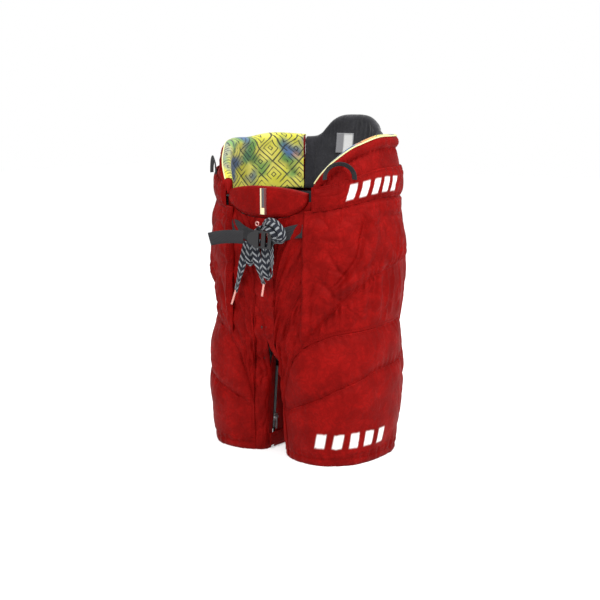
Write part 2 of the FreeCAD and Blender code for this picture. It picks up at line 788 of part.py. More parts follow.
ZIP_TAPE_WIDTH = 20.0
ZIP_TAPE = 0.8
TEETH_WIDTH = 4.6
TEETH_PROUD = 0.4
TEETH_END = 3.0             # bare tape at each end of the row


def zip_chain():
    """Tape behind the slot with the row of teeth standing in it."""
    tape_x = SHELL + 0.5
    tape = Part.makeBox(ZIP_TAPE, ZIP_TAPE_WIDTH, ZIP_TOP - ZIP_FOOT,
                        V(tape_x, ZIP_Y - ZIP_TAPE_WIDTH / 2.0, ZIP_FOOT))
    teeth = Part.makeBox(tape_x + TEETH_PROUD + 0.1, TEETH_WIDTH, ZIP_TOP - ZIP_FOOT - 2.0 * TEETH_END,
                         V(-TEETH_PROUD, ZIP_Y - TEETH_WIDTH / 2.0, ZIP_FOOT + TEETH_END))
    return on_inner_face(tape.fuse(teeth).removeSplitter())


PULL_PIN_DEPTH = -3.8
PULL_BORE = 0.9
PULL_PIN = 0.65


def zip_slider():
    """Slider plate with two lugs and the pin that carries the pull."""
    plate = Part.makeBox(1.2, 9.0, 12.0, V(-2.0, ZIP_Y - 4.5, SLIDER_Z - 6.0))
    wide = []
    for edge in plate.Edges:
        a = edge.Vertexes[0].Point
        b = edge.Vertexes[1].Point
        if abs(a.y - b.y) < 0.001 and abs(a.z - b.z) < 0.001:
            wide.append(edge)
    body = plate.makeFillet(2.6, wide)
    for side in (-1.0, 1.0):
        lug = Part.makeBox(3.2, 1.0, 3.4, V(-4.9, ZIP_Y + side * 2.4 - 0.5, SLIDER_Z - 1.7))
        body = body.fuse(lug)
    pin = Part.makeCylinder(PULL_PIN, 5.0, V(PULL_PIN_DEPTH, ZIP_Y - 2.5, SLIDER_Z), V(0, 1, 0))
    return on_inner_face(body.fuse(pin).removeSplitter())


def zip_pull():
    """Tab hanging from the slider's pin."""
    width = 3.2
    knuckle = Part.makeCylinder(PULL_BORE + 0.5, width, V(PULL_PIN_DEPTH, ZIP_Y - width / 2.0, SLIDER_Z),
                                V(0, 1, 0))
    tab = Part.makeBox(0.8, width, PULL_LENGTH, V(PULL_PIN_DEPTH - 1.3, ZIP_Y - width / 2.0,
                                                  SLIDER_Z - PULL_LENGTH))
    bore = Part.makeCylinder(PULL_BORE, width + 2.0, V(PULL_PIN_DEPTH, ZIP_Y - width / 2.0 - 1.0, SLIDER_Z),
                             V(0, 1, 0))
    return on_inner_face(knuckle.fuse(tab).cut(bore).removeSplitter())


TAB_FRONT_Y = -73.0
TAB_BACK_Y = -17.0
CAP_Y = -26.0


def tab_outer_x():
    """Outer face of the snap tab, upright beside the leaning inner thigh."""
    return inner_x(TAB_Z + TAB_HEIGHT / 2.0) - TAB_STAND_OFF - TAB_THICKNESS


def snap_tab():
    """Webbing tab across the foot of the zip, with a rounded free end."""
    half = TAB_HEIGHT / 2.0
    x = tab_outer_x()
    tab = Part.makeBox(TAB_THICKNESS, TAB_BACK_Y - TAB_FRONT_Y, TAB_HEIGHT, V(x, TAB_FRONT_Y, TAB_Z - half))
    ends = []
    for edge in tab.Edges:
        a = edge.Vertexes[0].Point
        b = edge.Vertexes[1].Point
        if abs(a.x - b.x) > 0.5 and a.y > TAB_FRONT_Y + 1.0:
            ends.append(edge)
    return tab.makeFillet(half * 0.6, ends)


def snap_cap():
    """Domed press-stud cap on the tab."""
    cap = Part.makeCylinder(CAP_RADIUS, CAP_HEIGHT, V(tab_outer_x(), CAP_Y, TAB_Z), V(-1, 0, 0))
    rims = []
    for edge in cap.Edges:
        if edge.BoundBox.XLength < 0.01 and edge.BoundBox.XMin < tab_outer_x() - CAP_HEIGHT / 2.0:
            rims.append(edge)
    return cap.makeFillet(CAP_HEIGHT * 0.5, rims)


def snap_stud():
    """Stud on the inner thigh that the cap presses onto."""
    radius = CAP_RADIUS - 1.0
    stud = Part.makeCylinder(radius, 1.0, V(-1.0, CAP_Y, TAB_Z), V(1, 0, 0))
    return on_inner_face(stud)


# ---- assembly ------------------------------------------------------------------------------------
PAIRS = {
    "hip_panel": hip_panel, "seat_panel": seat_panel, "kidney_pad": kidney_pad,
    "kidney_lining": kidney_lining, "hip_cap": hip_cap, "hip_foam": hip_foam,
    "hanger_loop": hanger_loop, "thigh_upper_panel": thigh_upper_panel,
    "thigh_lower_panel": thigh_lower_panel, "leg_back_panel": leg_back_panel,
    "inner_thigh_panel": inner_thigh_panel, "thigh_guard": thigh_guard, "thigh_foam": thigh_foam,
    "leg_lining": leg_lining, "zip_chain": zip_chain, "zip_slider": zip_slider,
    "zip_pull": zip_pull, "snap_tab": snap_tab, "snap_cap": snap_cap, "snap_stud": snap_stud,
}
SINGLES = {
    "front_panel": front_panel, "fly_flap": fly_flap, "fly_eyelets": fly_eyelets,
    "waist_band": waist_band, "spine_pad": spine_pad, "tailbone_pad": tailbone_pad,
    "trunk_lining": trunk_lining, "crotch_gusset": crotch_gusset, "belly_pad": belly_pad,
    "belt_buckle": belt_buckle, "belt_tail": belt_tail, "lace_knot": lace_knot,
    "lace_aglets": lace_aglets,
}

def build():
    shapes = {}
    for name, make in PAIRS.items():
        left = make()
        shapes[name + "_left"] = left
        shapes[name + "_right"] = mirrored(left)
    for name, make in SINGLES.items():
        shapes[name] = make()
    shapes["belt_strap_left"] = belt_strap(-0.945, -1.0 + BELT_END)
    shapes["belt_strap_right"] = belt_strap(-1.0 - BELT_END, -1.035)
    shapes["lace_end_right"] = lace_tube(LACE_END_RIGHT, "lace_end_right")
    shapes["lace_end_left"] = lace_tube(LACE_END_LEFT, "lace_end_left")
    shapes["lace_loop_right"] = lace_tube(LACE_LOOP_RIGHT, "lace_loop_right")
    shapes["lace_loop_left"] = lace_tube(LACE_LOOP_LEFT, "lace_loop_left")
    return shapes


os.makedirs("parts", exist_ok=True)
whole = FreeCAD.BoundBox()
for name, shape in sorted(build().items()):
    shape.translate(V(0, FRAME_SHIFT_Y, 0))
    shape.exportStep("parts/" + name + ".step")
    box = shape.BoundBox
    if not name.startswith("lace_"):
        whole.add(box)
    if not shape.isValid():
        print("NOT VALID", name)
print("nodes", 2 * len(PAIRS) + len(SINGLES) + 6)
print("box without laces", whole)
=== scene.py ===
"""Junior hockey pants: the looks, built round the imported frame. Metres, +Z up, -Y is the wearer's front."""
import json
import math
import bmesh
import bpy
import numpy as np
from mathutils import Vector
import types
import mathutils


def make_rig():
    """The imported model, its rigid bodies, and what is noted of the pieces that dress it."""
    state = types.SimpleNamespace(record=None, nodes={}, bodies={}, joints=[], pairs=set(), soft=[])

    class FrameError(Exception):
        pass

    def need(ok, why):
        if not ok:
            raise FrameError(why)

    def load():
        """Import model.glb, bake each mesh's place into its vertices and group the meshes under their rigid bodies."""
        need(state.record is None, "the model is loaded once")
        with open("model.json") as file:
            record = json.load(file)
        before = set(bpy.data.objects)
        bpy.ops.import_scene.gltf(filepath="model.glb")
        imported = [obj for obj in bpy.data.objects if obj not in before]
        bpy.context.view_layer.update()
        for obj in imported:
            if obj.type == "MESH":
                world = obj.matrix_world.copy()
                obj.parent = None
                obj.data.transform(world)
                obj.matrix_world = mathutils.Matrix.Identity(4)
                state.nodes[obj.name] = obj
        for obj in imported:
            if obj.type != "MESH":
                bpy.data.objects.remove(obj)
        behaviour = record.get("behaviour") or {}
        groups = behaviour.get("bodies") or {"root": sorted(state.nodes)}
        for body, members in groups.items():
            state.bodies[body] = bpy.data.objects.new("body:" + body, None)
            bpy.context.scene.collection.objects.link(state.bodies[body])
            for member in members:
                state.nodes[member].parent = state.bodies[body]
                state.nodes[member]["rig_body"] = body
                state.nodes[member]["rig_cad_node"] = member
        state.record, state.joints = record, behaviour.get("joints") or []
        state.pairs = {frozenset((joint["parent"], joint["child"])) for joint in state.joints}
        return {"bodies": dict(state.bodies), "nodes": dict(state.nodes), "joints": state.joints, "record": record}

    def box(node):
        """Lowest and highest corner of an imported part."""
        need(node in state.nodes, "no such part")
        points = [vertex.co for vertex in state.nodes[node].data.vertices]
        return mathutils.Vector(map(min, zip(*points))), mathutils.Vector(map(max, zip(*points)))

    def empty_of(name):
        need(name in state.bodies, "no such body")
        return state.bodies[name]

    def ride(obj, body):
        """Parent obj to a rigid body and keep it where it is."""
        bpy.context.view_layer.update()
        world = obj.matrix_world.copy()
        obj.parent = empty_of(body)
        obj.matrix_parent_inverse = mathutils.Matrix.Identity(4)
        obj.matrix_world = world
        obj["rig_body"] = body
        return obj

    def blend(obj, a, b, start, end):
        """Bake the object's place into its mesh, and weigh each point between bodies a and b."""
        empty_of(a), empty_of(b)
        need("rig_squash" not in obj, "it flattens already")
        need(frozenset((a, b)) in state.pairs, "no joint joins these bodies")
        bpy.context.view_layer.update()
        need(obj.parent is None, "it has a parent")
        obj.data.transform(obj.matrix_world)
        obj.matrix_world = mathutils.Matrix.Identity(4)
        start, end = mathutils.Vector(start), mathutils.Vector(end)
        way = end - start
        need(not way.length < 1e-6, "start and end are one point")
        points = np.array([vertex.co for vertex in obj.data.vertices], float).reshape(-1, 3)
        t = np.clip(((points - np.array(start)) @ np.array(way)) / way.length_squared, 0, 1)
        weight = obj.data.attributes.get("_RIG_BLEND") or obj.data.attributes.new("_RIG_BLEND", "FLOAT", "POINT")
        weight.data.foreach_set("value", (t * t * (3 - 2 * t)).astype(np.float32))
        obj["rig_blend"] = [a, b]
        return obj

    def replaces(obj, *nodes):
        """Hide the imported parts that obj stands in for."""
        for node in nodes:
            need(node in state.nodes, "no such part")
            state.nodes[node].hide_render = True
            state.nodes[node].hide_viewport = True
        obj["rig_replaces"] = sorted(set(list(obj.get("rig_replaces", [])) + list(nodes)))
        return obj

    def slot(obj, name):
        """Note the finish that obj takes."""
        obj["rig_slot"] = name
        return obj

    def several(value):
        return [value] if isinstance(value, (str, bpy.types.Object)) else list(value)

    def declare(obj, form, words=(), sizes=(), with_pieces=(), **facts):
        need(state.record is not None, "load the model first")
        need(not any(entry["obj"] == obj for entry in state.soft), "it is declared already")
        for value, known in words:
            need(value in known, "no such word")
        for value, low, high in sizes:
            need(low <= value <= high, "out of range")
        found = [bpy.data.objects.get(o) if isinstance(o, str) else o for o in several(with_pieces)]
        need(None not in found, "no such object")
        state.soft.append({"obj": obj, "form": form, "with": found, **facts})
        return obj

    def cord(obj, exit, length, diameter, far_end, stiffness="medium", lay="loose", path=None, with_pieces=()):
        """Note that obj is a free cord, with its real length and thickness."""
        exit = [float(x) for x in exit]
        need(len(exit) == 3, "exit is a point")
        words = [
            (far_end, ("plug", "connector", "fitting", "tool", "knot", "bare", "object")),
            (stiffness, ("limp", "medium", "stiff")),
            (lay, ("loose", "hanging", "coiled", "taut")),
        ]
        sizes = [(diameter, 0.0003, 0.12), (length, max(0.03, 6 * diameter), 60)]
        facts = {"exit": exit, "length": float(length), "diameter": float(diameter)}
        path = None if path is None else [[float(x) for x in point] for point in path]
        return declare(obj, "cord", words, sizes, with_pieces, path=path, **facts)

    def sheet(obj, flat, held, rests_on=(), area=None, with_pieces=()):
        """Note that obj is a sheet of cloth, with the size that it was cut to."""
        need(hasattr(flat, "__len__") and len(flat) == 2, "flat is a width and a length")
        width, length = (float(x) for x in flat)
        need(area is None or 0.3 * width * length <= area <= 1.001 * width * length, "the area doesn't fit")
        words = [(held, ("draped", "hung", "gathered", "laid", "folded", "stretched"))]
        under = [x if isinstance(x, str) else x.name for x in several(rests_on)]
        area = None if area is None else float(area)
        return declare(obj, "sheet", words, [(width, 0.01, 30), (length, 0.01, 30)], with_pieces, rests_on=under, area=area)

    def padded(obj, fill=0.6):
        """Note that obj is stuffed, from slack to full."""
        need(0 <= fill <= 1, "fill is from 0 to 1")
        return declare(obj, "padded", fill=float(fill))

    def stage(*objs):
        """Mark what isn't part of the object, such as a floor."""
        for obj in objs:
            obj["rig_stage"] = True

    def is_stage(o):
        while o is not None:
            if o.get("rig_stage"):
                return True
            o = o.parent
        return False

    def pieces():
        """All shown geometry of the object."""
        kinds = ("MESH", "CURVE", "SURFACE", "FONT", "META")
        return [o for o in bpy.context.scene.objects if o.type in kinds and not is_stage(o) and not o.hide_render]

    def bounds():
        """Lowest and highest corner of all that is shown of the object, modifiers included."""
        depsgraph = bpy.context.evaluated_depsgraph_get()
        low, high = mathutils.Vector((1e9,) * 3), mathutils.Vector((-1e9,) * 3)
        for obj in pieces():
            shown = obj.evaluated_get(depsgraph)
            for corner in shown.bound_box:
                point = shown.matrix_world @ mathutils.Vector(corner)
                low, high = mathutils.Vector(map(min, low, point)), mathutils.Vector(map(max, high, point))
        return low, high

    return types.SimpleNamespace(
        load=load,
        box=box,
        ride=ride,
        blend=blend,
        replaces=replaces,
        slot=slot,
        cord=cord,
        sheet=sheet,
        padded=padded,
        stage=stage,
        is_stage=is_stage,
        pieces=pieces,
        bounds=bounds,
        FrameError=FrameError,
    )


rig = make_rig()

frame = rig.load()
cad_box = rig.bounds()


# ---- Studio ---------------------------------------------------------------------------------------
# A pale seamless floor, three soft lamps and a camera a little above hip height, three-quarters from
# the wearer's left front. None of it belongs to the pants.
HIP_LINE = next(j for j in frame["joints"] if j["name"] == "leg_swing_left")["pos_m"]
MIDDLE_Y = HIP_LINE[1]

CAMERA_TURN = math.radians(37.4)
CAMERA_TILT = math.radians(10.0)
CAMERA_DISTANCE = 1.8
to_right = Vector((math.cos(CAMERA_TURN), math.sin(CAMERA_TURN), 0.0))
to_camera = Vector((math.sin(CAMERA_TURN) * math.cos(CAMERA_TILT),
                    -math.cos(CAMERA_TURN) * math.cos(CAMERA_TILT), math.sin(CAMERA_TILT)))
aim = Vector((0.0, MIDDLE_Y, 0.2297)) - 0.0097 * to_right
camera_data = bpy.data.cameras.new("camera")
camera_data.lens = 68.4
camera_data.sensor_width = 36.0
camera = bpy.data.objects.new("camera", camera_data)
camera.location = aim + CAMERA_DISTANCE * to_camera
camera.rotation_euler = to_camera.to_track_quat("Z", "Y").to_euler()
bpy.context.scene.collection.objects.link(camera)
bpy.context.scene.camera = camera


def lamp(name, turn, tilt, distance, size, power):
    """A square area lamp aimed at the middle of the pants from a turn and tilt in degrees."""
    data = bpy.data.lights.new(name, "AREA")
    data.size = size
    data.energy = power
    way = Vector((math.sin(math.radians(turn)) * math.cos(math.radians(tilt)),
                  -math.cos(math.radians(turn)) * math.cos(math.radians(tilt)),
                  math.sin(math.radians(tilt))))
    obj = bpy.data.objects.new(name, data)
    obj.location = Vector((0.0, 0.0, 0.26)) + distance * way
    obj.rotation_euler = way.to_track_quat("Z", "Y").to_euler()
    bpy.context.scene.collection.objects.link(obj)


lamp("key_lamp", 20.0, 50.0, 2.2, 0.9, 42.0)
lamp("side_lamp", 92.0, 34.0, 2.4, 0.9, 46.0)
lamp("back_lamp", 200.0, 55.0, 2.4, 1.2, 20.0)
world = bpy.data.worlds.new("studio")
world.use_nodes = True
world.node_tree.nodes["Background"].inputs["Color"].default_value = (1.0, 1.0, 1.0, 1.0)
world.node_tree.nodes["Background"].inputs["Strength"].default_value = 1.0
bpy.context.scene.world = world
bpy.context.scene.view_settings.view_transform = "Standard"


# ---- Floor ----------------------------------------------------------------------------------------
# Matt white, the same all over, that glows a little, so it meets the white studio without an edge.
# A finish is a procedural material; a Value is one socket of it. Sums and products of values add Math
# nodes, so a pattern is written as a formula.
class Value:
    def __init__(self, finish, socket):
        self.finish = finish
        self.socket = socket

    def math(self, operation, *others):
        return self.finish.node("ShaderNodeMath", {"operation": operation}, self, *others)

    def __add__(self, other):
        return self.math("ADD", other)

    def __sub__(self, other):
        return self.math("SUBTRACT", other)

    def __rsub__(self, other):
        return self.finish.node("ShaderNodeMath", {"operation": "SUBTRACT"}, other, self)

    def __mul__(self, other):
        return self.math("MULTIPLY", other)

    def __truediv__(self, other):
        return self.math("DIVIDE", other)

    __radd__ = __add__
    __rmul__ = __mul__

    def between(self, low, high):
        """1 between two limits with soft edges of a tenth of their distance, else 0."""
        soft = (high - low) * 0.1
        return self.ramp(low - soft, low + soft) * (1.0 - self.ramp(high - soft, high + soft))

    def ramp(self, low, high):
        """Smooth rise from 0 at low to 1 at high."""
        return self.finish.node("ShaderNodeMapRange", {"interpolation_type": "SMOOTHSTEP"},
                                self, low, high, 0.0, 1.0)


class Finish:
    """A Principled material that is built by formula. Constants go straight onto its sockets. Given a
    material instead of a name, it adds to that one."""

    def __init__(self, material, **constants):
        if isinstance(material, str):
            material = bpy.data.materials.new(material)
            material.use_nodes = True
        self.material = material
        self.tree = material.node_tree
        self.surface = self.tree.nodes["Principled BSDF"]
        for key, value in constants.items():
            self.surface.inputs[key.replace("_", " ")].default_value = value

    def node(self, kind, settings, *inputs, output=0, **named):
        """Add a node: settings first, then its inputs in order or by name; returns one output."""
        node = self.tree.nodes.new(kind)
        for key, value in settings.items():
            setattr(node, key, value)
        targets = list(zip(node.inputs, inputs))
        targets += [(node.inputs[key.replace("_", " ")], value) for key, value in named.items()]
        for target, value in targets:
            self.put(target, value)
        return Value(self, node.outputs[output])

    def put(self, target, value):
        if isinstance(value, Value):
            self.tree.links.new(value.socket, target)
        elif value is not None:
            target.default_value = value

    def feed(self, **links):
        for key, value in links.items():
            self.put(self.surface.inputs[key.replace("_", " ")], value)

    def place(self):
        return self.node("ShaderNodeTexCoord", {}, output=3)

    def map(self, name):
        """The two coordinates of one of the piece's own UV maps, in metres."""
        both = self.node("ShaderNodeUVMap", {"uv_map": name})
        return (self.node("ShaderNodeSeparateXYZ", {}, both),
                self.node("ShaderNodeSeparateXYZ", {}, both, output=1))

    def noise(self, scale, detail=3.0, vector=None, roughness=0.5, distortion=0.0):
        return self.node("ShaderNodeTexNoise", {}, Vector=vector or self.place(), Scale=scale,
                         Detail=detail, Roughness=roughness, Distortion=distortion)

    def mix(self, factor, first, second):
        """Colour that goes from first to second."""
        return self.node("ShaderNodeMix", {"data_type": "RGBA"}, factor, None, None, None, None, None,
                         first, second, output=2)

    def bump(self, height, distance, strength=1.0):
        return self.node("ShaderNodeBump", {}, Height=height, Distance=distance, Strength=strength)


FLOOR_SIDE = 12.0
floor_mesh = bpy.data.meshes.new("floor")
half_floor = FLOOR_SIDE / 2.0
floor_mesh.from_pydata([(-half_floor, -half_floor, 0.0), (half_floor, -half_floor, 0.0),
                        (half_floor, half_floor, 0.0), (-half_floor, half_floor, 0.0)], [], [(0, 1, 2, 3)])
floor = bpy.data.objects.new("floor", floor_mesh)
bpy.context.scene.collection.objects.link(floor)

floor_finish = Finish("pale_floor", Base_Color=(0.60, 0.60, 0.60, 1.0), Roughness=0.9,
                      Emission_Color=(1.0, 1.0, 1.0, 1.0), Emission_Strength=0.40)
floor_mesh.materials.append(floor_finish.material)
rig.stage(floor)


# ---- The outline of the garment -------------------------------------------------------------------
# The cloth follows the same outline as the frame: a rounded section for the trunk, and for each leg an
# outer half, a rounded inner corner and a flat inner face. Stations a run round the left half: 0 at the
# outer side, -1 and 1 where the leg stands out most, 1.5 to 2 along the inner face.
HEM_SIDE = 0.142
THIGH_SIDE = 0.151
HIP_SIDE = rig.box("hip_panel_left")[1].x
WAIST_SIDE = 0.1495
TOP_Z = cad_box[1].z
THIGH_Z = 0.110
FORK_Z = 0.200
SEAT_Z = 0.265
HIP_Z = 0.280
WAIST_Z = 0.400
LEG_CENTRE_X = 0.072
INNER_FLAT = 0.075
INNER_HEM_X = 0.020
INNER_SLOPE = math.tan(math.radians(4.0))
SQUARENESS = 0.86


def profile(stations, where):
    """Monotone cubic curve through (place, value) stations, held level beyond its ends: between two
    stations a Hermite cubic whose end slopes are the harmonic means of the slopes beside them."""
    place, value = np.array(stations, float).T
    slope = np.diff(value) / np.diff(place)
    before, after = slope[:-1], slope[1:]
    total = np.where(before + after == 0.0, 1.0, before + after)
    inner = np.where(before * after > 0.0, 2.0 * before * after / total, 0.0)
    tangent = np.concatenate([slope[:1], inner, slope[-1:]])
    where = np.clip(where, place[0], place[-1])
    k = np.clip(np.searchsorted(place, where, side="right") - 1, 0, len(slope) - 1)
    width = place[k + 1] - place[k]
    t = (where - place[k]) / width
    rise = t * t * (3.0 - 2.0 * t)
    return (value[k] * (1.0 - rise) + value[k + 1] * rise
            + width * t * (1.0 - t) * ((1.0 - t) * tangent[k] - t * tangent[k + 1]))


def smooth_step(t):
    t = np.clip(t, 0.0, 1.0)
    return t * t * (3.0 - 2.0 * t)


def squared(value):
    return np.sign(value) * np.abs(value) ** SQUARENESS


def side_x(z):
    return profile([(0.0, HEM_SIDE), (THIGH_Z, THIGH_SIDE), (FORK_Z, THIGH_SIDE), (HIP_Z, HIP_SIDE),
                    (WAIST_Z, WAIST_SIDE), (TOP_Z, WAIST_SIDE)], z)


def trunk_depth(z, back):
    front = profile([(THIGH_Z, 0.1065), (HIP_Z, 0.1075), (TOP_Z, 0.109)], z)
    rear = profile([(THIGH_Z, 0.107), (SEAT_Z, 0.120), (WAIST_Z, 0.113), (TOP_Z, 0.115)], z)
    return np.where(back, rear, front)


def leg_depth(z, back):
    front = profile([(0.0, 0.094), (THIGH_Z, 0.104), (FORK_Z, 0.1005), (SEAT_Z, 0.1005)], z)
    rear = profile([(0.0, 0.094), (THIGH_Z, 0.106), (SEAT_Z, 0.110)], z)
    return np.where(back, rear, front)


def inner_x(z):
    """Centre plane to the inner thigh. The cloth closes the gap between the legs below the fork."""
    return (INNER_HEM_X - z * INNER_SLOPE) * (1.0 - smooth_step((z - 0.140) / 0.045))


def trunk_outline(a, z):
    """Trunk section: superellipse by angle, -1 at the front centre, 1 at the back centre."""
    angle = a * math.pi / 2.0
    along = squared(np.sin(angle))
    return side_x(z) * squared(np.cos(angle)), trunk_depth(z, along > 0.0) * along


def cloth_outline(a, z):
    """Section of the cloth from hem to waist. Below the fork it is the leg's, above it the depth at
    each x passes smoothly to the trunk's."""
    a = np.where(a > 2.0, a - 4.0, a)
    turn = np.abs(a)
    back = a > 0.0
    corner = np.clip(turn - 1.0, 0.0, 0.5) * math.pi
    angle = np.minimum(turn, 1.0) * math.pi / 2.0
    side = side_x(z)
    centre = LEG_CENTRE_X
    x = np.where(turn <= 1.0, centre + (side - centre) * squared(np.cos(angle)),
                 centre - (centre - inner_x(z)) * np.sin(corner))
    depth = leg_depth(z, back)
    y_leg = np.where(turn <= 1.0, depth * squared(np.sin(angle)),
                     depth - (depth - INNER_FLAT) * (1.0 - np.cos(corner)))
    y_leg = np.where(turn > 1.5, INNER_FLAT * (2.0 - turn) / 0.5, y_leg)
    cosine = np.clip(x / side, 0.0, 1.0) ** (1.0 / SQUARENESS)
    y_trunk = trunk_depth(z, back) * np.sqrt(1.0 - cosine ** 2) ** SQUARENESS
    up = smooth_step((z - 0.125) / 0.085)
    return x, np.where(back, 1.0, -1.0) * (y_leg * (1.0 - up) + y_trunk * up)


def stand(outline, a, z, out):
    """Points that stand out from an outline by a distance, moved level, along its own normal."""
    step = 0.004
    x, y = outline(a, z)
    x0, y0 = outline(a - step, z)
    x1, y1 = outline(a + step, z)
    length = np.hypot(x1 - x0, y1 - y0) + 1e-9
    return np.stack([x + out * (y1 - y0) / length, y - out * (x1 - x0) / length + MIDDLE_Y,
                     z + 0.0 * x], -1)


# ---- Thigh pads -----------------------------------------------------------------------------------
# Two padded panels on the front and side of each leg, sewn together along a seam that rises towards the
# outer side. Foam under tight nylon, so each is crowned and dips at its seams; the lower one ends in a
# turned hem.
def wave(value, length):
    """0 to 1 and back once in every length."""
    return (value * (2.0 * math.pi / length)).math("SINE") * 0.5 + 0.5


def nylon(name, colour, shade, roughness=0.62, sheen=0.0):
    """Plain-woven nylon: two crossed yarns, cloudy colour, fine creases with painted shade in them and, 4 mm
    inside every sewn edge, a row of stitches in a dip that is painted darker as shade. The edge map holds the
    distance to the edge and the way along it."""
    finish = Finish(name, Sheen_Weight=sheen, Sheen_Roughness=0.5, Specular_IOR_Level=0.035)
    u, v = finish.map("cloth")
    away, along = finish.map("edge")
    weave = wave(u, 0.0011) * wave(v, 0.0011)
    cloud = finish.noise(34.0, 4.0)
    crease = (finish.noise(95.0, 5.0, distortion=0.9) - 0.5).math("ABSOLUTE") * 2.0
    stitch = away.between(0.0034, 0.0044) * wave(along, 0.0034).ramp(0.28, 0.5)
    dimple_and_shade = away.between(0.0026, 0.0052)
    tone = finish.mix(cloud.ramp(0.32, 0.68) * 0.55 + 0.45, shade, colour)
    # Painted shade: the tone darkens towards the shade colour in the creases.
    tone = finish.mix((1.0 - crease.ramp(0.0, 0.25)) * 0.34, tone, shade)
    # Painted shade: the dip along each sewn edge is darkened towards the shade colour.
    tone = finish.mix(dimple_and_shade * 0.35, tone, shade)
    tone = finish.mix(stitch * 0.8, tone, colour)
    finish.feed(Base_Color=tone, Roughness=roughness - cloud * 0.10 + stitch * 0.1)
    height = weave * 0.12 + crease.ramp(0.0, 0.4) * 0.5 - dimple_and_shade * 0.6 + stitch * 0.5
    finish.feed(Normal=finish.bump(height, 0.0007, 0.75))
    return finish.material


# RED is the cloth's colour; DEEP_RED its darker tone, used for random clouding and for the painted shade in creases
# and seam dips.
RED = (0.192, 0.0030, 0.0024, 1.0)
DEEP_RED = (0.082, 0.0009, 0.0007, 1.0)
red_nylon = nylon("red_nylon", RED, DEEP_RED)
WHITE = (0.70, 0.70, 0.68, 1.0)


def barred(material, middle, bars, half_width, low, high):
    """Print a row of slanted white bars on a nylon, by the first coordinate of its cloth map."""
    finish = Finish(material)
    u, v = finish.map("cloth")
    slanted = u - v * 0.35 - middle
    printed = None
    for place in bars:
        one = slanted.between(place - half_width, place + half_width)
        printed = one if printed is None else printed + one
    printed = printed * v.between(low, high) * finish.noise(420.0, 4.0).ramp(0.27, 0.36)
    base = Value(finish, finish.surface.inputs["Base Color"].links[0].from_socket)
    finish.feed(Base_Color=finish.mix(printed * 0.95, base, WHITE))
    return material


def waves(u, v, length, seed, count=9, stretch=1.0):
    """Smooth uneven surface, about -1 to 1: a sum of seeded sine waves in random directions. The
    second coordinate is divided by stretch, so that creases run that way."""
    rng = np.random.default_rng(seed)
    total = 0.0
    for _ in range(count):
        turn = rng.uniform(0.0, math.pi)
        pitch = length * rng.uniform(0.7, 1.5)
        phase = rng.uniform(0.0, 2.0 * math.pi)
        total = total + np.sin(2.0 * math.pi / pitch * (u * math.cos(turn) + v / stretch * math.sin(turn))
                               + phase)
    return total / math.sqrt(count)


def crinkle(u, v, length, seed, stretch=1.0):
    """Sharp creases between flat facets, 0 in a crease to 1: the folded value of a warped wave field."""
    warp = 0.25 * length
    u2 = u + warp * waves(u, v, 1.7 * length, seed + 1, stretch=stretch)
    v2 = v + warp * waves(u, v, 1.7 * length, seed + 2, stretch=stretch)
    return 1.0 - np.exp(-np.abs(waves(u2, v2, length, seed, stretch=stretch)) * 1.8)


def over(out, lowest, share=0.12):
    """Keep cloth over the plates behind it: what would sink below the lowest value hardly does."""
    return np.where(out < lowest, lowest + (out - lowest) * share, out)


def run(points, axis):
    """Length along one direction of a grid of points."""
    step = np.linalg.norm(np.diff(points, axis=axis), axis=-1)
    start = np.zeros_like(np.take(step, [0], axis))
    return np.concatenate([start, np.cumsum(step, axis)], axis)


def grid_quads(rows, columns, start=0):
    i, j = np.meshgrid(np.arange(rows - 1), np.arange(columns - 1), indexing="ij")
    first = (start + i * columns + j).ravel()
    return np.stack([first, first + columns, first + columns + 1, first + 1], -1)


def edge_map(points, sewn="nsew"):
    """Distance to the nearest sewn side of a grid, and the way along that side. The letters name the
    sides: s and n where the second direction starts and ends, w and e where the first one does."""
    along_u = run(points, 0)
    along_v = run(points, 1)
    ways = {"s": (along_v, along_u), "n": (along_v[:, -1:] - along_v, along_u),
            "w": (along_u, along_v), "e": (along_u[-1:] - along_u, along_v)}
    distance = np.stack([ways[k][0] for k in sewn])
    along = np.stack([ways[k][1] for k in sewn])
    nearest = distance.argmin(0)[None]
    return np.stack([np.take_along_axis(distance, nearest, 0)[0],
                     np.take_along_axis(along, nearest, 0)[0]], -1)


def add_piece(name, points, quads, finish, maps):
    """Mesh object from whole arrays: points (n, 3), quads (m, 4) and UV maps by name, (n, 2) each. A
    closed piece's volume, summed over its faces, tells whether they all have to be turned outward."""
    a, b, c, d = (points[quads[:, k]] for k in range(4))
    if (np.cross(c - a, d - b) * (a + b + c + d)).sum() < 0.0:
        quads = quads[:, ::-1]
    mesh = bpy.data.meshes.new(name)
    mesh.vertices.add(len(points))
    mesh.vertices.foreach_set("co", np.ascontiguousarray(points, np.float32).ravel())
    mesh.loops.add(quads.size)
    mesh.loops.foreach_set("vertex_index", np.ascontiguousarray(quads, np.int32).ravel())
    mesh.polygons.add(len(quads))
    mesh.polygons.foreach_set("loop_start", np.arange(0, quads.size, 4, dtype=np.int32))
    mesh.polygons.foreach_set("use_smooth", np.ones(len(quads), bool))
    for map_name, place in maps.items():
        layer = mesh.uv_layers.new(name=map_name)
        layer.data.foreach_set("uv", place[quads.ravel()].astype(np.float32).ravel())
    mesh.update(calc_edges=True)
    mesh.validate()
    mesh.materials.append(finish)
    obj = bpy.data.objects.new(name, mesh)
    bpy.context.scene.collection.objects.link(obj)
    return obj


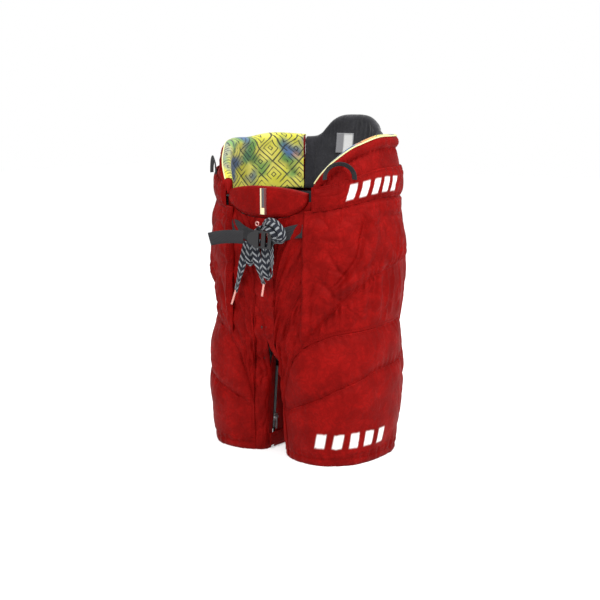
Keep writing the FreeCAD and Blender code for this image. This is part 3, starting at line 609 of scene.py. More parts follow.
def sheet(name, outer, inner, finish, edge=None):
    """Closed cloth between an outer and an inner grid of points, with narrow rims round its sides."""
    rows, columns = outer.shape[:2]
    count = rows * columns
    border = np.concatenate([np.arange(columns), columns - 1 + columns * np.arange(1, rows),
                             count - 1 - np.arange(1, columns), columns * np.arange(rows - 2, 0, -1)])
    beyond = np.roll(border, -1)
    rim = np.stack([border, beyond, beyond + count, border + count], -1)
    quads = np.concatenate([grid_quads(rows, columns), grid_quads(rows, columns, count)[:, ::-1], rim])
    along_u = run(outer, 0)
    along_v = run(outer, 1)
    cloth = np.stack([along_u, along_v], -1).reshape(-1, 2)
    if edge is None:
        edge = edge_map(outer)
    edge = edge.reshape(-1, 2)
    maps = {"cloth": np.concatenate([cloth, cloth]), "edge": np.concatenate([edge, edge * 0.0 + 0.5])}
    points = np.concatenate([outer.reshape(-1, 3), inner.reshape(-1, 3)])
    return add_piece(name, points, quads, finish, maps)


def mirror(points, sign):
    return points * np.array([sign, 1.0, 1.0])


def both_sides(make):
    """Make a piece for the left side, then for the right, with mirrored points and another seed."""
    for side, sign, seed in (("left", 1.0, 0), ("right", -1.0, 500)):
        make(side, sign, seed)


HIP_POINT = np.array([0.0, 0.0, 0.175])
HIP_WAY = np.array([0.2607, 0.0, -0.9654])
HIP_BEND = 0.034


def hang_from_hip(piece, side, sign):
    """Cloth that crosses the hip bends from the trunk to that side's leg, all of it in the same way."""
    start = HIP_POINT + np.array([0.0, MIDDLE_Y, 0.0])
    end = start + HIP_BEND * HIP_WAY * np.array([sign, 1.0, 1.0])
    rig.blend(piece, "trunk", "leg_" + side, start=tuple(start), end=tuple(end))


PAD_BACK = 0.36             # station of the seam with the leg's back
PAD_TOP = [(-1.205, 0.111), (-1.155, 0.134), (-1.09, 0.160), (-1.03, 0.175), (-0.968, 0.183),
           (-0.855, 0.191), (-0.70, 0.199), (-0.495, 0.203), (-0.27, 0.206), (0.0, 0.210), (0.36, 0.214)]
PAD_MIDDLE = [(-1.262, 0.074), (-1.149, 0.081), (-1.04, 0.090), (-0.755, 0.109), (-0.533, 0.122),
              (-0.311, 0.132), (-0.10, 0.143), (0.17, 0.147), (0.36, 0.149)]
SEAM_DIP = -0.0012


def crown(points, height, reach, sides=("w", "e", "s", "n")):
    """Height over a pad: nothing at its sewn sides, rising as 1 - exp(-d / reach) away from each."""
    total = 1.0
    for side in sides:
        away = edge_map(points, side)[..., 0]
        total = total * (1.0 - np.exp(-away / reach))
    return SEAM_DIP + (height - SEAM_DIP) * total


def between(first, second, count):
    """Columns of a grid from one line of values to another."""
    t = np.linspace(0.0, 1.0, count)
    return first[:, None] * (1.0 - t) + second[:, None] * t


THIGH_BARS = (-0.052, -0.026, 0.0, 0.026, 0.052)


def thigh_pad(side, sign, seed, part):
    count = 151
    t = np.linspace(0.0, 1.0, count)
    if part == "lower":
        foot_a, foot_z = -1.27 + (PAD_BACK + 1.27) * t, 0.0 * t
        top_a = -1.262 + (PAD_BACK + 1.262) * t
        top_z = profile(PAD_MIDDLE, top_a)
        a, z = between(foot_a, top_a, 61), between(foot_z, top_z, 61)
    else:
        foot_a = -1.262 + (PAD_BACK + 1.262) * t
        foot_z = profile(PAD_MIDDLE, foot_a)
        top_a = -1.205 + (PAD_BACK + 1.205) * t
        top_z = profile(PAD_TOP, top_a)
        a, z = between(foot_a, top_a, 51), between(foot_z, top_z, 51)
    flat = stand(cloth_outline, a, z, 0.0 * a)
    sewn = "nwe" if part == "lower" else "nswe"
    edge = edge_map(flat, sewn)
    u, v = run(flat, 0), run(flat, 1)
    out = crown(flat, 0.0052, 0.011, tuple(sewn))
    if part == "lower":
        hem = flat[..., 2]
        out = out - 0.0012 * np.exp(-((hem - 0.012) / 0.0022) ** 2) - 0.003 * np.exp(-hem / 0.0035)
        edge = np.where((hem < 0.02)[..., None], np.stack([np.abs(hem - 0.0155), u], -1), edge)
    inside = 1.0 - np.exp(-edge[..., 0] / 0.010)
    out = out + 0.0009 * inside * waves(u, v, 0.060, seed + 11)
    out = out + 0.0011 * (1.0 - inside) * waves(u, v * 0.2, 0.011, seed + 12)
    out = out + 0.0007 * (crinkle(u, v, 0.045, seed + 13) - 0.7)
    out = over(out, -0.0006)
    outer = stand(cloth_outline, a, z, out)
    inner = stand(cloth_outline, a, z, 0.0 * out - 0.0014)
    finish = red_nylon
    if part == "lower" and side == "left":
        finish = barred(nylon("barred_nylon", RED, DEEP_RED), 0.112, THIGH_BARS, 0.0072, 0.031, 0.053)
    piece = sheet("thigh_%s_pad_%s" % (part, side), mirror(outer, sign), mirror(inner, sign), finish, edge)
    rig.replaces(piece, "thigh_%s_panel_%s" % (part, side))
    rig.slot(piece, "red_nylon")
    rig.padded(piece, fill=0.55)
    hang_from_hip(piece, side, sign)


both_sides(lambda side, sign, seed: thigh_pad(side, sign, seed, "lower"))
both_sides(lambda side, sign, seed: thigh_pad(side, sign, seed + 40, "upper"))


# ---- Hip cloth ------------------------------------------------------------------------------------
# Loose crinkled nylon over the hip pads, from under the waist band to the thigh pads. A gathered seam
# crosses it from the inner thigh up to the back of the hip: the cloth blouses over it, and one deep fold
# falls from the band towards the front.
def flat_cut(points, fullness=1.0):
    """Flat size of the cloth that lies over a grid, and its area, with some extra for gathers."""
    width = float(np.median(run(points, 0)[-1])) * fullness
    length = float(np.median(run(points, 1)[:, -1]))
    a = points[1:, 1:] - points[:-1, :-1]
    b = points[1:, :-1] - points[:-1, 1:]
    area = 0.5 * float(np.linalg.norm(np.cross(a, b), axis=-1).sum()) * fullness
    return {"flat": (width, length), "area": float(np.clip(area, 0.31 * width * length, width * length))}


HIP_FRONT = -1.023
GATHER = [(-1.03, 0.178), (-0.746, 0.231), (-0.456, 0.268), (-0.211, 0.289), (0.14, 0.299), (0.36, 0.302)]
DEEP_FOLD = [(0.262, -0.79), (0.267, -0.755), (0.289, -0.604), (0.321, -0.45), (0.366, -0.35)]
BAND_FOOT_FRONT = 0.379
BAND_RISE = 0.021


def band_foot(a):
    """Height of the waist band's lower edge at a trunk station, lower at the front."""
    a = np.where(a > 1.0, 2.0 - a, a)
    return BAND_FOOT_FRONT + BAND_RISE * smooth_step((a + 0.8) / 0.8)


def trunk_station(a, z):
    """Trunk station at the same x as a cloth station."""
    x = cloth_outline(a, z)[0]
    turn = np.arccos(np.clip(x / side_x(z), 0.0, 1.0) ** (1.0 / SQUARENESS)) * 2.0 / math.pi
    return np.where(a > 0.0, turn, -turn)


def hip_relief(a, z, u, v, top, seed):
    """How far the hip cloth stands out, from its puff, gathers, folds and creases. The right side's
    puff and deep fold are pressed flatter."""
    full = 1.0 if seed == 0 else 0.35
    above = z - profile(GATHER, a)
    puff = 0.0095 * full * (above / 0.026) * np.exp(1.0 - above / 0.026) * (above > 0.0)
    puff = np.maximum(puff, 0.0045 * smooth_step(above / 0.03) * smooth_step((top - z) / 0.03))
    pinch = -0.0022 * np.exp(-np.abs(above) / 0.0035)
    sway = waves(u, 0.0 * v, 0.030, seed + 21) * 1.3
    gathers = np.sin(u * 2.0 * math.pi / 0.0105 + sway + 14.0 * above)
    gathers = 0.0021 * np.exp(-np.abs(above) / 0.017) * gathers * smooth_step(np.abs(above) / 0.004)
    below = smooth_step(-above / 0.02)
    folds = 0.0022 * below * np.sin(u * 2.0 * math.pi / 0.021 + 1.5 * sway - 9.0 * z)
    pleats = np.sin(u * 2.0 * math.pi / 0.0125 + 2.0 * sway)
    pleats = 0.0018 * np.exp(-(top - z) / 0.018) * pleats
    beside = (a - profile(DEEP_FOLD, z)) * 0.150
    reach = smooth_step((z - 0.258) / 0.02) * smooth_step((0.385 - z) / 0.02)
    deep = -0.0050 * np.exp(-(beside / 0.0055) ** 2) + 0.0070 * np.exp(-((beside - 0.016) / 0.011) ** 2)
    deep = deep - 0.0014 * np.exp(-((beside + 0.014) / 0.007) ** 2)
    loose = 0.0046 * (crinkle(u, v, 0.075, seed + 22, 1.5) - 0.45)
    fine = 0.0017 * (crinkle(u, v, 0.026, seed + 23, 1.3) - 0.5)
    uneven = np.clip(0.55 + 0.6 * waves(u, v, 0.070, seed + 24, 5), 0.0, 1.2)
    return puff + pinch + gathers + (folds + pleats) * uneven + deep * reach * full + loose + fine


def hip_cloth(side, sign, seed):
    t = np.linspace(0.0, 1.0, 141)
    a = HIP_FRONT + (PAD_BACK - HIP_FRONT) * t
    foot = profile(PAD_TOP, a)
    top = band_foot(trunk_station(a, 0.39 + 0.0 * a)) + 0.002
    z = between(foot, top, 111)
    a = np.repeat(a[:, None], 111, 1)
    flat = stand(cloth_outline, a, z, 0.0 * a)
    edge = edge_map(flat, "swen")
    u, v = run(flat, 0), run(flat, 1)
    held = 1.0 - np.exp(-edge_map(flat, "se")[..., 0] / 0.009)
    out = SEAM_DIP + held * (hip_relief(a, z, u, v, top[:, None], seed) - SEAM_DIP)
    out = over(out, -0.0004)
    front = edge_map(flat, "w")[..., 0]
    out = out + 0.0018 * np.exp(-((front - 0.006) / 0.004) ** 2)
    out = out - (0.0062 * smooth_step((z - 0.18) / 0.05) + 0.0010) * np.exp(-((front / 0.0026) ** 2))
    under_band = smooth_step((z - top[:, None] + 0.010) / 0.008)
    out = out * (1.0 - under_band) + np.minimum(out, -0.0004) * under_band
    outer = stand(cloth_outline, a, z, out)
    inner = stand(cloth_outline, a, z, np.minimum(out - 0.0006, -0.0013))
    piece = sheet("hip_cloth_" + side, mirror(outer, sign), mirror(inner, sign), red_nylon, edge)
    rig.replaces(piece, "hip_panel_" + side)
    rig.slot(piece, "red_nylon")
    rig.sheet(piece, held="gathered", rests_on=["hip_cap_" + side], **flat_cut(flat, 1.15))
    hang_from_hip(piece, side, sign)


both_sides(hip_cloth)


# ---- Groin cloth ----------------------------------------------------------------------------------
# Plain nylon from the hem up the inner front of each leg to the belt. It lies deeper than the hip cloth,
# which ends over it, and narrows the leg's inner corner beside the thigh pads.
GROIN_FOOT = [(-1.272, 0.0), (-1.268, 0.040), (-1.254, 0.078), (-1.205, 0.111), (-1.155, 0.134),
              (-1.09, 0.160), (-1.0, 0.177), (-0.93, 0.182)]
CENTRE_DEPTH = 0.0044
GROIN_TOP = 0.368


def belly_foot(a):
    """Lower edge of the belly pad by trunk station: deepest at the middle."""
    t = np.clip(np.abs(a + 1.0) / 0.30, 0.0, 1.0)
    return 0.3680 + 0.034 * (1.0 - np.sqrt(np.clip(1.0 - t * t * 0.96, 0.0, 1.0)))


def groin_cloth(side, sign, seed):
    a = np.linspace(-1.5, -0.93, 71)
    foot = profile(GROIN_FOOT, a)
    top = belly_foot(trunk_station(a, 0.38 + 0.0 * a)) - 0.0004
    z = between(foot, top, 141)
    a = np.repeat(a[:, None], 141, 1)
    flat = stand(cloth_outline, a, z, 0.0 * a)
    u, v = run(flat, 0), run(flat, 1)
    sunk = CENTRE_DEPTH * smooth_step((z - 0.185) / 0.06) + 0.0012 * smooth_step((a + 1.035) / 0.020)
    held = 1.0 - np.exp(-edge_map(flat, "es")[..., 0] / 0.008)
    loose = 0.0052 * (crinkle(u, v, 0.050, seed + 31, 1.6) - 0.55)
    fine = 0.0018 * (crinkle(u, v, 0.020, seed + 32, 1.4) - 0.5)
    drape = 0.0022 * np.sin(v * 2.0 * math.pi / 0.032 + 40.0 * u) * smooth_step((z - 0.1) / 0.06)
    met = 1.0 - np.exp(-edge_map(flat, "w")[..., 0] / 0.004)
    out = over(met * np.minimum(held * (loose + fine + drape), 0.0030) - sunk, -0.0056, 0.08)
    out = out - 0.0022 * (1.0 - smooth_step(z / 0.004))
    outer = stand(cloth_outline, a, z, out)
    inner = stand(cloth_outline, a, z, out - 0.0010)
    piece = sheet("groin_cloth_" + side, mirror(outer, sign), mirror(inner, sign), red_nylon,
                  edge_map(flat, "es"))
    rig.slot(piece, "red_nylon")
    if side == "left":
        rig.replaces(piece, "front_panel")
    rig.sheet(piece, held="stretched", rests_on=["leg_lining_" + side], **flat_cut(flat))
    hang_from_hip(piece, side, sign)


both_sides(groin_cloth)


# ---- Seat and leg back ----------------------------------------------------------------------------
# The seat is one crinkled panel on each side of the back seam; the leg's back below it is plainer and
# ends in the same turned hem.
SEAT_FOOT = 0.205
INNER_BACK = 1.56


def seat_foot(a):
    """Seam between seat and leg back, lower beside the fork."""
    return SEAT_FOOT - 0.030 * smooth_step((a - 1.40) / 0.14)


def back_cloth(side, sign, seed, part):
    seat = part == "seat"
    t = np.linspace(0.0, 1.0, 121)
    if seat:
        a = PAD_BACK + (1.5 - PAD_BACK) * t
        top = band_foot(trunk_station(a, 0.39 + 0.0 * a)) + 0.002
        z = between(seat_foot(a), top, 101)
    else:
        a = PAD_BACK + (INNER_BACK - PAD_BACK) * t
        z = between(0.0 * a, seat_foot(a), 101)
    a = np.repeat(a[:, None], 101, 1)
    flat = stand(cloth_outline, a, z, 0.0 * a)
    u, v = run(flat, 0), run(flat, 1)
    edge = edge_map(flat, "swe" if seat else "nwe")
    held = 1.0 - np.exp(-edge[..., 0] / 0.010)
    loose = 0.0036 * (crinkle(u, v, 0.070, seed + 41, 1.3) - 0.6)
    fine = 0.0012 * (crinkle(u, v, 0.026, seed + 42, 1.3) - 0.6)
    pucker = 0.0009 * np.sin(u * 2.0 * math.pi / 0.011) * np.exp(-edge[..., 0] / 0.012)
    out = SEAM_DIP + held * (loose + fine + (0.004 if seat else 0.002) - SEAM_DIP) + pucker
    out = over(out, -0.0008)
    if seat:
        under_band = smooth_step((z - z[:, -1:] + 0.010) / 0.008)
        out = out * (1.0 - under_band) - 0.0004 * under_band
    else:
        out = out - 0.0012 * np.exp(-((z - 0.012) / 0.0022) ** 2) - 0.003 * np.exp(-z / 0.0035)
        edge = np.where((z < 0.02)[..., None], np.stack([np.abs(z - 0.0155), u], -1), edge)
    outer = stand(cloth_outline, a, z, out)
    inner = stand(cloth_outline, a, z, out - 0.0012)
    name, node = ("seat_cloth_", "seat_panel_") if seat else ("leg_back_cloth_", "leg_back_panel_")
    piece = sheet(name + side, mirror(outer, sign), mirror(inner, sign), red_nylon, edge)
    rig.replaces(piece, node + side)
    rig.slot(piece, "red_nylon")
    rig.sheet(piece, held="stretched", rests_on=["leg_lining_" + side], **flat_cut(flat, 1.04))
    hang_from_hip(piece, side, sign)


both_sides(lambda side, sign, seed: back_cloth(side, sign, seed, "seat"))
both_sides(lambda side, sign, seed: back_cloth(side, sign, seed + 7, "leg"))


# ---- Inner thigh and zip --------------------------------------------------------------------------
# Flat nylon between the legs, in two parts with the zip's slot between them: the wide part behind the
# zip and a narrow strip before it. They end under the hip's swing, at an arc about the hip line. The
# cuts are the radii at which the leg's and the trunk's linings end too.
ZIP_Y = -0.060
ZIP_HALF_SLOT = 0.004
HIP_LINE_Z = 0.310
LEG_CUT, TRUNK_CUT = 0.150, 0.148


def inner_face(y, z, out):
    """Points on the flat inner face of the left leg; out is towards the other leg."""
    return np.stack([inner_x(z) - out, y + MIDDLE_Y, z + 0.0 * y], -1)


def inner_cloth(side, sign, seed, part):
    if part == "back":
        y = np.linspace(ZIP_Y + ZIP_HALF_SLOT, INNER_FLAT * 0.88, 61)
    else:
        y = np.linspace(-INNER_FLAT, ZIP_Y - ZIP_HALF_SLOT, 9)
    top = HIP_LINE_Z - np.sqrt(LEG_CUT ** 2 - y ** 2)
    z = between(0.0 * y, top, 81)
    y = np.repeat(y[:, None], 81, 1)
    flat = inner_face(y, z, 0.0 * y)
    u, v = run(flat, 0), run(flat, 1)
    edge = edge_map(flat, "ew" if part == "back" else "e")
    out = 0.0011 * (1.0 - np.exp(-edge[..., 0] / 0.008)) * (crinkle(u, v, 0.040, seed + 51) - 0.4)
    out = out - 0.0010 * np.exp(-z / 0.003)
    piece = sheet("inner_thigh_%s_%s" % (part, side), mirror(inner_face(y, z, out), sign),
                  mirror(inner_face(y, z, out - 0.0010), sign), red_nylon, edge)
    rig.replaces(piece, "inner_thigh_panel_" + side)
    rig.slot(piece, "red_nylon")
    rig.sheet(piece, held="stretched", rests_on=["leg_lining_" + side], **flat_cut(flat))
    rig.ride(piece, "leg_" + side)


both_sides(lambda side, sign, seed: inner_cloth(side, sign, seed, "back"))
both_sides(lambda side, sign, seed: inner_cloth(side, sign, seed, "front"))


def plain(name, **constants):
    return Finish(name, **constants).material


# Zip: woven black tape behind the slot and two rows of moulded teeth, alternating.
ZIP_FOOT, ZIP_TOP = 0.030, 0.136
TOOTH_PITCH = 0.0017
zip_tape = nylon("zip_tape", (0.020, 0.020, 0.022, 1.0), (0.011, 0.011, 0.012, 1.0), 0.8)
zip_teeth = plain("zip_teeth", Base_Color=(0.035, 0.035, 0.038, 1.0), Roughness=0.35)
BOX = np.array([(x, y, z) for x in (-0.5, 0.5) for y in (-0.5, 0.5) for z in (-0.5, 0.5)])
BOX_SIDES = np.array([(0, 1, 3, 2), (4, 6, 7, 5), (0, 4, 5, 1), (2, 3, 7, 6), (0, 2, 6, 4), (1, 5, 7, 3)])


def boxes(name, centres, sizes, finish):
    """Many small boxes in one piece."""
    points = (centres[:, None] + BOX[None] * sizes).reshape(-1, 3)
    quads = (np.arange(len(centres))[:, None, None] * 8 + BOX_SIDES[None]).reshape(-1, 4)
    flat = points[:, :2]
    return add_piece(name, points, quads, finish, {"cloth": flat, "edge": flat * 0.0 + 0.5})


def zip_parts(side, sign, seed):
    y = np.linspace(ZIP_Y - 0.010, ZIP_Y + 0.010, 13)
    z = between(ZIP_FOOT + 0.0 * y, ZIP_TOP + 0.0 * y, 31)
    y = np.repeat(y[:, None], 31, 1)
    tape = sheet("zip_tape_" + side, mirror(inner_face(y, z, -0.0017 + 0.0 * y), sign),
                 mirror(inner_face(y, z, -0.0025 + 0.0 * y), sign), zip_tape)
    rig.replaces(tape, "zip_chain_" + side)
    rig.slot(tape, "zip_teeth")
    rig.sheet(tape, flat=(0.020, ZIP_TOP - ZIP_FOOT), held="stretched", rests_on=["leg_lining_" + side])
    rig.ride(tape, "leg_" + side)
    z = np.arange(ZIP_FOOT + 0.003, ZIP_TOP - 0.003, TOOTH_PITCH / 2.0)
    y = ZIP_Y + 0.0007 * (-1.0) ** np.arange(len(z))
    teeth = boxes("zip_teeth_" + side, mirror(inner_face(y, z, -0.0007 + 0.0 * y), sign),
                  (0.0020, 0.0030, 0.0010), zip_teeth)
    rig.slot(teeth, "zip_teeth")
    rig.ride(teeth, "leg_" + side)


both_sides(zip_parts)


# ---- Snap tabs ------------------------------------------------------------------------------------
# A tab of folded nylon over the foot of each zip, boxed in stitches, that carries the press-stud's cap.
def snap_tab(side, sign, seed):
    low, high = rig.box("snap_tab_" + side)
    y = np.linspace(low.y, high.y, 41)
    round_end = 0.006 * (1.0 - np.sqrt(np.clip(1.0 - np.clip((y - high.y + 0.006) / 0.006, 0.0, 1.0) ** 2,
                                               0.0, 1.0)))
    z = between(low.z + round_end, high.z - round_end, 21)
    y = np.repeat(y[:, None], 21, 1)
    face, back = (low.x, high.x) if side == "left" else (high.x, low.x)
    outer = np.stack([face + 0.0 * y, y, z], -1)
    inner = np.stack([back + 0.0 * y, y, z], -1)
    rim = np.exp(-edge_map(outer)[..., 0] / 0.0012)
    outer[..., 0] += sign * 0.0005 * rim
    piece = sheet("snap_tab_cloth_" + side, outer, inner, red_nylon, edge_map(outer))
    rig.replaces(piece, "snap_tab_" + side)
    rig.slot(piece, "dark_binding")
    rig.sheet(piece, flat=(high.y - low.y, high.z - low.z), held="stretched", rests_on=[])
    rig.ride(piece, "snap_tab_" + side)


both_sides(snap_tab)


# ---- Fly placket ----------------------------------------------------------------------------------
# Two layers of nylon over the front opening, square at the top, where the belly pad covers it, and
# round at the foot, with two rows of stitches round its edge.
FLY_HALF_WIDTH = 0.0165
FLY_FOOT = 0.222


def fly_placket():
    half = 1.0 - 2.0 / math.pi * math.acos((FLY_HALF_WIDTH / 0.152) ** (1.0 / SQUARENESS))
    t = np.linspace(-1.0, 1.0, 61)
    foot = FLY_FOOT + FLY_HALF_WIDTH * 0.9 * (1.0 - np.sqrt(np.clip(1.0 - t * t * 0.985, 0.0, 1.0)))
    z = between(foot, GROIN_TOP + 0.0 * t, 121)
    a = np.repeat((-1.0 + half * t)[:, None], 121, 1)
    flat = stand(trunk_outline, a, z, 0.0 * a)
    u, v = run(flat, 0), run(flat, 1)
    edge = edge_map(flat, "swe")
    held = 1.0 - np.exp(-edge[..., 0] / 0.004)
    out = -0.0026 + 0.0016 * held * (crinkle(u, v, 0.034, 61, 0.8) - 0.6)
    out = out + 0.0010 * held * waves(0.3 * u, v, 0.016, 62) - 0.0009 * np.exp(-edge[..., 0] / 0.0012)
    piece = sheet("fly_placket", stand(trunk_outline, a, z, out), stand(trunk_outline, a, z, out - 0.0014),
                  red_nylon, edge)
    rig.replaces(piece, "fly_flap")
    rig.slot(piece, "red_nylon")
    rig.sheet(piece, held="stretched", rests_on=["groin_cloth_left", "groin_cloth_right"], **flat_cut(flat))
    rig.ride(piece, "trunk")


fly_placket()


# ---- Waist band -----------------------------------------------------------------------------------
# Padded nylon band that holds the pads over the waist: crowned, puckered along both seams. Five plain
# slanted white bars are printed on each side.
BAND_END = -0.67
BAND_BARS = (-0.042, -0.021, 0.0, 0.021, 0.042)


def waist_band():
    a = np.linspace(BAND_END, 2.0 - BAND_END, 361)
    foot = band_foot(a)
    mirrored_a = np.where(a > 1.0, 2.0 - a, a)
    top = foot + 0.036 + 0.008 * smooth_step((mirrored_a + 0.7) / 0.7)
    z = between(foot, top, 31)
    a = np.repeat(a[:, None], 31, 1)
    flat = stand(trunk_outline, a, z, 0.0 * a)
    u, v = run(flat, 0), run(flat, 1)
    edge = edge_map(flat, "snwe")
    near = edge[..., 0]
    out = 0.0006 + 0.0046 * (1.0 - np.exp(-near / 0.007))
    out = out + 0.0010 * np.sin(u * 2.0 * math.pi / 0.0135 + 2.0 * waves(u, 0.0 * v, 0.05, 71)) * np.exp(
        -near / 0.010)
    out = out + 0.0012 * (crinkle(u, v, 0.050, 72, 0.5) - 0.7)
    finish = nylon("band_nylon", RED, DEEP_RED)
    total = float(u[-1].mean())
    for middle in (0.098, total - 0.098):
        barred(finish, middle, BAND_BARS, 0.0060, 0.0100, 0.0310)
    piece = sheet("waist_band_cloth", stand(trunk_outline, a, z, out), stand(trunk_outline, a, z, 0.0 * a),
                  finish, edge)
    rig.replaces(piece, "waist_band")
    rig.slot(piece, "red_nylon")
    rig.padded(piece, fill=0.6)
    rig.ride(piece, "trunk")


waist_band()


# ---- Pads over the waist --------------------------------------------------------------------------
# Kidney pads at the sides and a higher spine pad at the back: foam in nylon, charcoal knit inside, with
# a rolled rim that a groove of stitches sets off.
KIDNEY_FRONT, SPINE_SEAM = -0.655, 0.69
PAD_FOOT = 0.398
KIDNEY_TOP = [(-0.655, 0.421), (-0.60, 0.436), (-0.51, 0.453), (-0.31, 0.476), (0.0, 0.489),
              (0.35, 0.488), (0.69, 0.484)]
ROLL = [(0.0014, 0.0225), (0.0030, 0.0195), (0.0030, 0.0180), (0.0004, 0.0160), (-0.0018, 0.0130),
        (-0.0028, 0.0095), (-0.0024, 0.0055), (-0.0002, 0.0022), (0.0032, 0.0004), (0.0070, 0.0),
        (0.0104, 0.0014), (0.0126, 0.0042), (0.0134, 0.0080), (0.0128, 0.0120), (0.0126, 0.0170)]
charcoal_knit = nylon("charcoal_knit", (0.024, 0.024, 0.028, 1.0), (0.011, 0.011, 0.013, 1.0), 0.9, 0.25)


def loft(name, rings, finish):
    """Closed piece through rings of points (n, m, 3), each ring closed, its two ends zipped shut."""
    count, around = rings.shape[:2]
    i, j = np.meshgrid(np.arange(count - 1), np.arange(around), indexing="ij")
    first = (i * around + j).ravel()
    beyond = (i * around + (j + 1) % around).ravel()
    walls = np.stack([first, first + around, beyond + around, beyond], -1)
    k = np.arange(around // 2 - 1)
    start = np.stack([k, k + 1, around - 2 - k, around - 1 - k], -1)
    end = start[:, ::-1] + (count - 1) * around
    cloth = np.stack([run(rings, 0), run(rings, 1)], -1).reshape(-1, 2)
    maps = {"cloth": cloth, "edge": cloth * 0.0 + 0.5}
    return add_piece(name, rings.reshape(-1, 3), np.concatenate([walls, start, end]), finish, maps)


LEAN = {"kidney_left": [(-0.655, 0.001), (0.0, 0.004), (0.35, 0.006), (0.69, 0.004)],
        "kidney_right": [(-0.655, 0.003), (-0.40, 0.014), (0.0, 0.016), (0.35, 0.008), (0.69, 0.004)],
        "spine": [(0.70, -0.004), (0.86, -0.010), (1.14, -0.010), (1.30, -0.004)]}


def lean(pad, a, z):
    """How far a pad leans in over the waist: soft pads stand a little off the frame's upright line."""
    around = np.where(a > 1.31, 2.0 - a, a)
    return profile(LEAN[pad], around) * smooth_step((z - 0.405) / 0.085)


def rolled_pad(name, pad, a, top, finish, seed, channels=()):
    """Pad section by station: outer face, groove, rolled rim, inner face."""
    outer_rows = np.linspace(0.0, 1.0, 16)
    inner_rows = np.linspace(1.0, 0.0, 9)[1:]
    roll_depth, roll_below = np.array(ROLL).T
    low, turn = PAD_FOOT, top - ROLL[0][1]
    z = [low + (turn - low) * t for t in outer_rows[:-1]] + [top - b for b in roll_below]
    z += [low + (top - ROLL[-1][1] - low) * t for t in inner_rows]
    depth = [0.0008 - 0.0026 * math.sin(math.pi * t) ** 0.7 + 0.0006 * t for t in outer_rows[:-1]]
    depth += list(roll_depth) + [0.0126] * len(inner_rows)
    z, depth = np.stack(z, 1), np.repeat(np.array(depth)[None], len(a), 0)
    a = np.repeat(a[:, None], z.shape[1], 1)
    depth = depth + lean(pad, a, z)
    flat = stand(trunk_outline, a, z, -depth)
    u, v = run(flat, 0), run(flat, 1)
    beside = np.abs(z - (top - 0.0187)[:, None])
    pucker = 0.0011 * np.sin(u * 2.0 * math.pi / 0.0085 + 2.0 * waves(u, 0.0 * v, 0.04, seed + 81))
    out = -depth + pucker * np.exp(-beside / 0.006) + 0.0011 * (crinkle(u, v, 0.045, seed + 82, 0.6) - 0.7)
    for middle in channels:
        away = np.abs(a - middle) * 0.18
        facing = np.where(depth - lean(pad, a, z) < 0.006, 1.0, -0.8)
        out = out - 0.0026 * np.exp(-(away / 0.0022) ** 2) * facing
    piece = loft(name, stand(trunk_outline, a, z, out), finish)
    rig.slot(piece, "red_nylon" if finish is red_nylon else "charcoal_knit")
    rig.padded(piece, fill=0.75)
    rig.ride(piece, "trunk")
    return piece


def kidney_top(side, a):
    """Top line of a kidney pad by station; the right pad has sagged at the side."""
    sag = 0.009 if side == "right" else 0.0
    return profile(KIDNEY_TOP, a) - sag * np.exp(-((a - 0.02) / 0.26) ** 2)


def kidney_pad(side, sign, seed):
    a = np.linspace(KIDNEY_FRONT, SPINE_SEAM, 161)
    top = kidney_top(side, a)
    if side == "right":
        a = 2.0 - a
    piece = rolled_pad("kidney_pad_cloth_" + side, "kidney_" + side, a, top, red_nylon, seed)
    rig.replaces(piece, "kidney_pad_" + side)


both_sides(kidney_pad)


def spine_pad():
    a = np.linspace(SPINE_SEAM + 0.012, 1.298, 81)
    drop = 0.028 * (np.abs(a - 0.965) / 0.205) ** 2.9
    top = TOP_Z - 0.002 - drop / (1.0 + (drop / 0.036) ** 4) ** 0.25
    piece = rolled_pad("spine_pad_cloth", "spine", a, top, charcoal_knit, 900, (0.775, 1.225))
    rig.replaces(piece, "spine_pad")


spine_pad()


# ---- Printed lining -------------------------------------------------------------------------------
# Lime-yellow print inside each kidney pad: blurred blotches of blue, green and orange under thin dark
# outlines of nested squares that stand on their corners. Cream piping follows its upper edge.
def print_finish():
    finish = Finish("printed_lining", Sheen_Weight=0.2, Roughness=0.75, Specular_IOR_Level=0.3)
    u, v = finish.map("cloth")
    tone = finish.mix(finish.noise(26.0, 2.0).ramp(0.35, 0.7), (0.42, 0.40, 0.030, 1.0),
                      (0.56, 0.51, 0.10, 1.0))
    for scale, seed, low, colour in ((21.0, 1.3, 0.53, (0.050, 0.19, 0.050, 1.0)),
                                     (19.0, 4.6, 0.50, (0.022, 0.070, 0.21, 1.0)),
                                     (24.0, 7.7, 0.60, (0.50, 0.200, 0.030, 1.0))):
        spot = finish.node("ShaderNodeTexNoise", {"noise_dimensions": "4D"}, Vector=finish.place(), W=seed,
                           Scale=scale, Detail=1.5)
        tone = finish.mix(spot.ramp(low, low + 0.14) * 0.9, tone, colour)
    p = (((u + v) / 0.044).math("FRACT") - 0.5).math("ABSOLUTE")
    q = (((u - v) / 0.044).math("FRACT") - 0.5).math("ABSOLUTE")
    nested = (p.math("MAXIMUM", q) * 5.0).math("FRACT")
    line = nested.between(0.32, 0.56)
    tone = finish.mix(line * finish.noise(45.0, 2.0).ramp(0.36, 0.46) * 0.9, tone, (0.015, 0.02, 0.02, 1.0))
    finish.feed(Base_Color=tone)
    weave = wave(u, 0.0012) * wave(v, 0.0012)
    finish.feed(Normal=finish.bump(weave, 0.0003, 0.5))
    return finish.material


printed_lining = print_finish()
piping_finish = plain("cream_piping", Base_Color=(0.56, 0.52, 0.25, 1.0), Roughness=0.7)


def unit(vectors):
    return vectors / (np.linalg.norm(vectors, axis=-1, keepdims=True) + 1e-12)


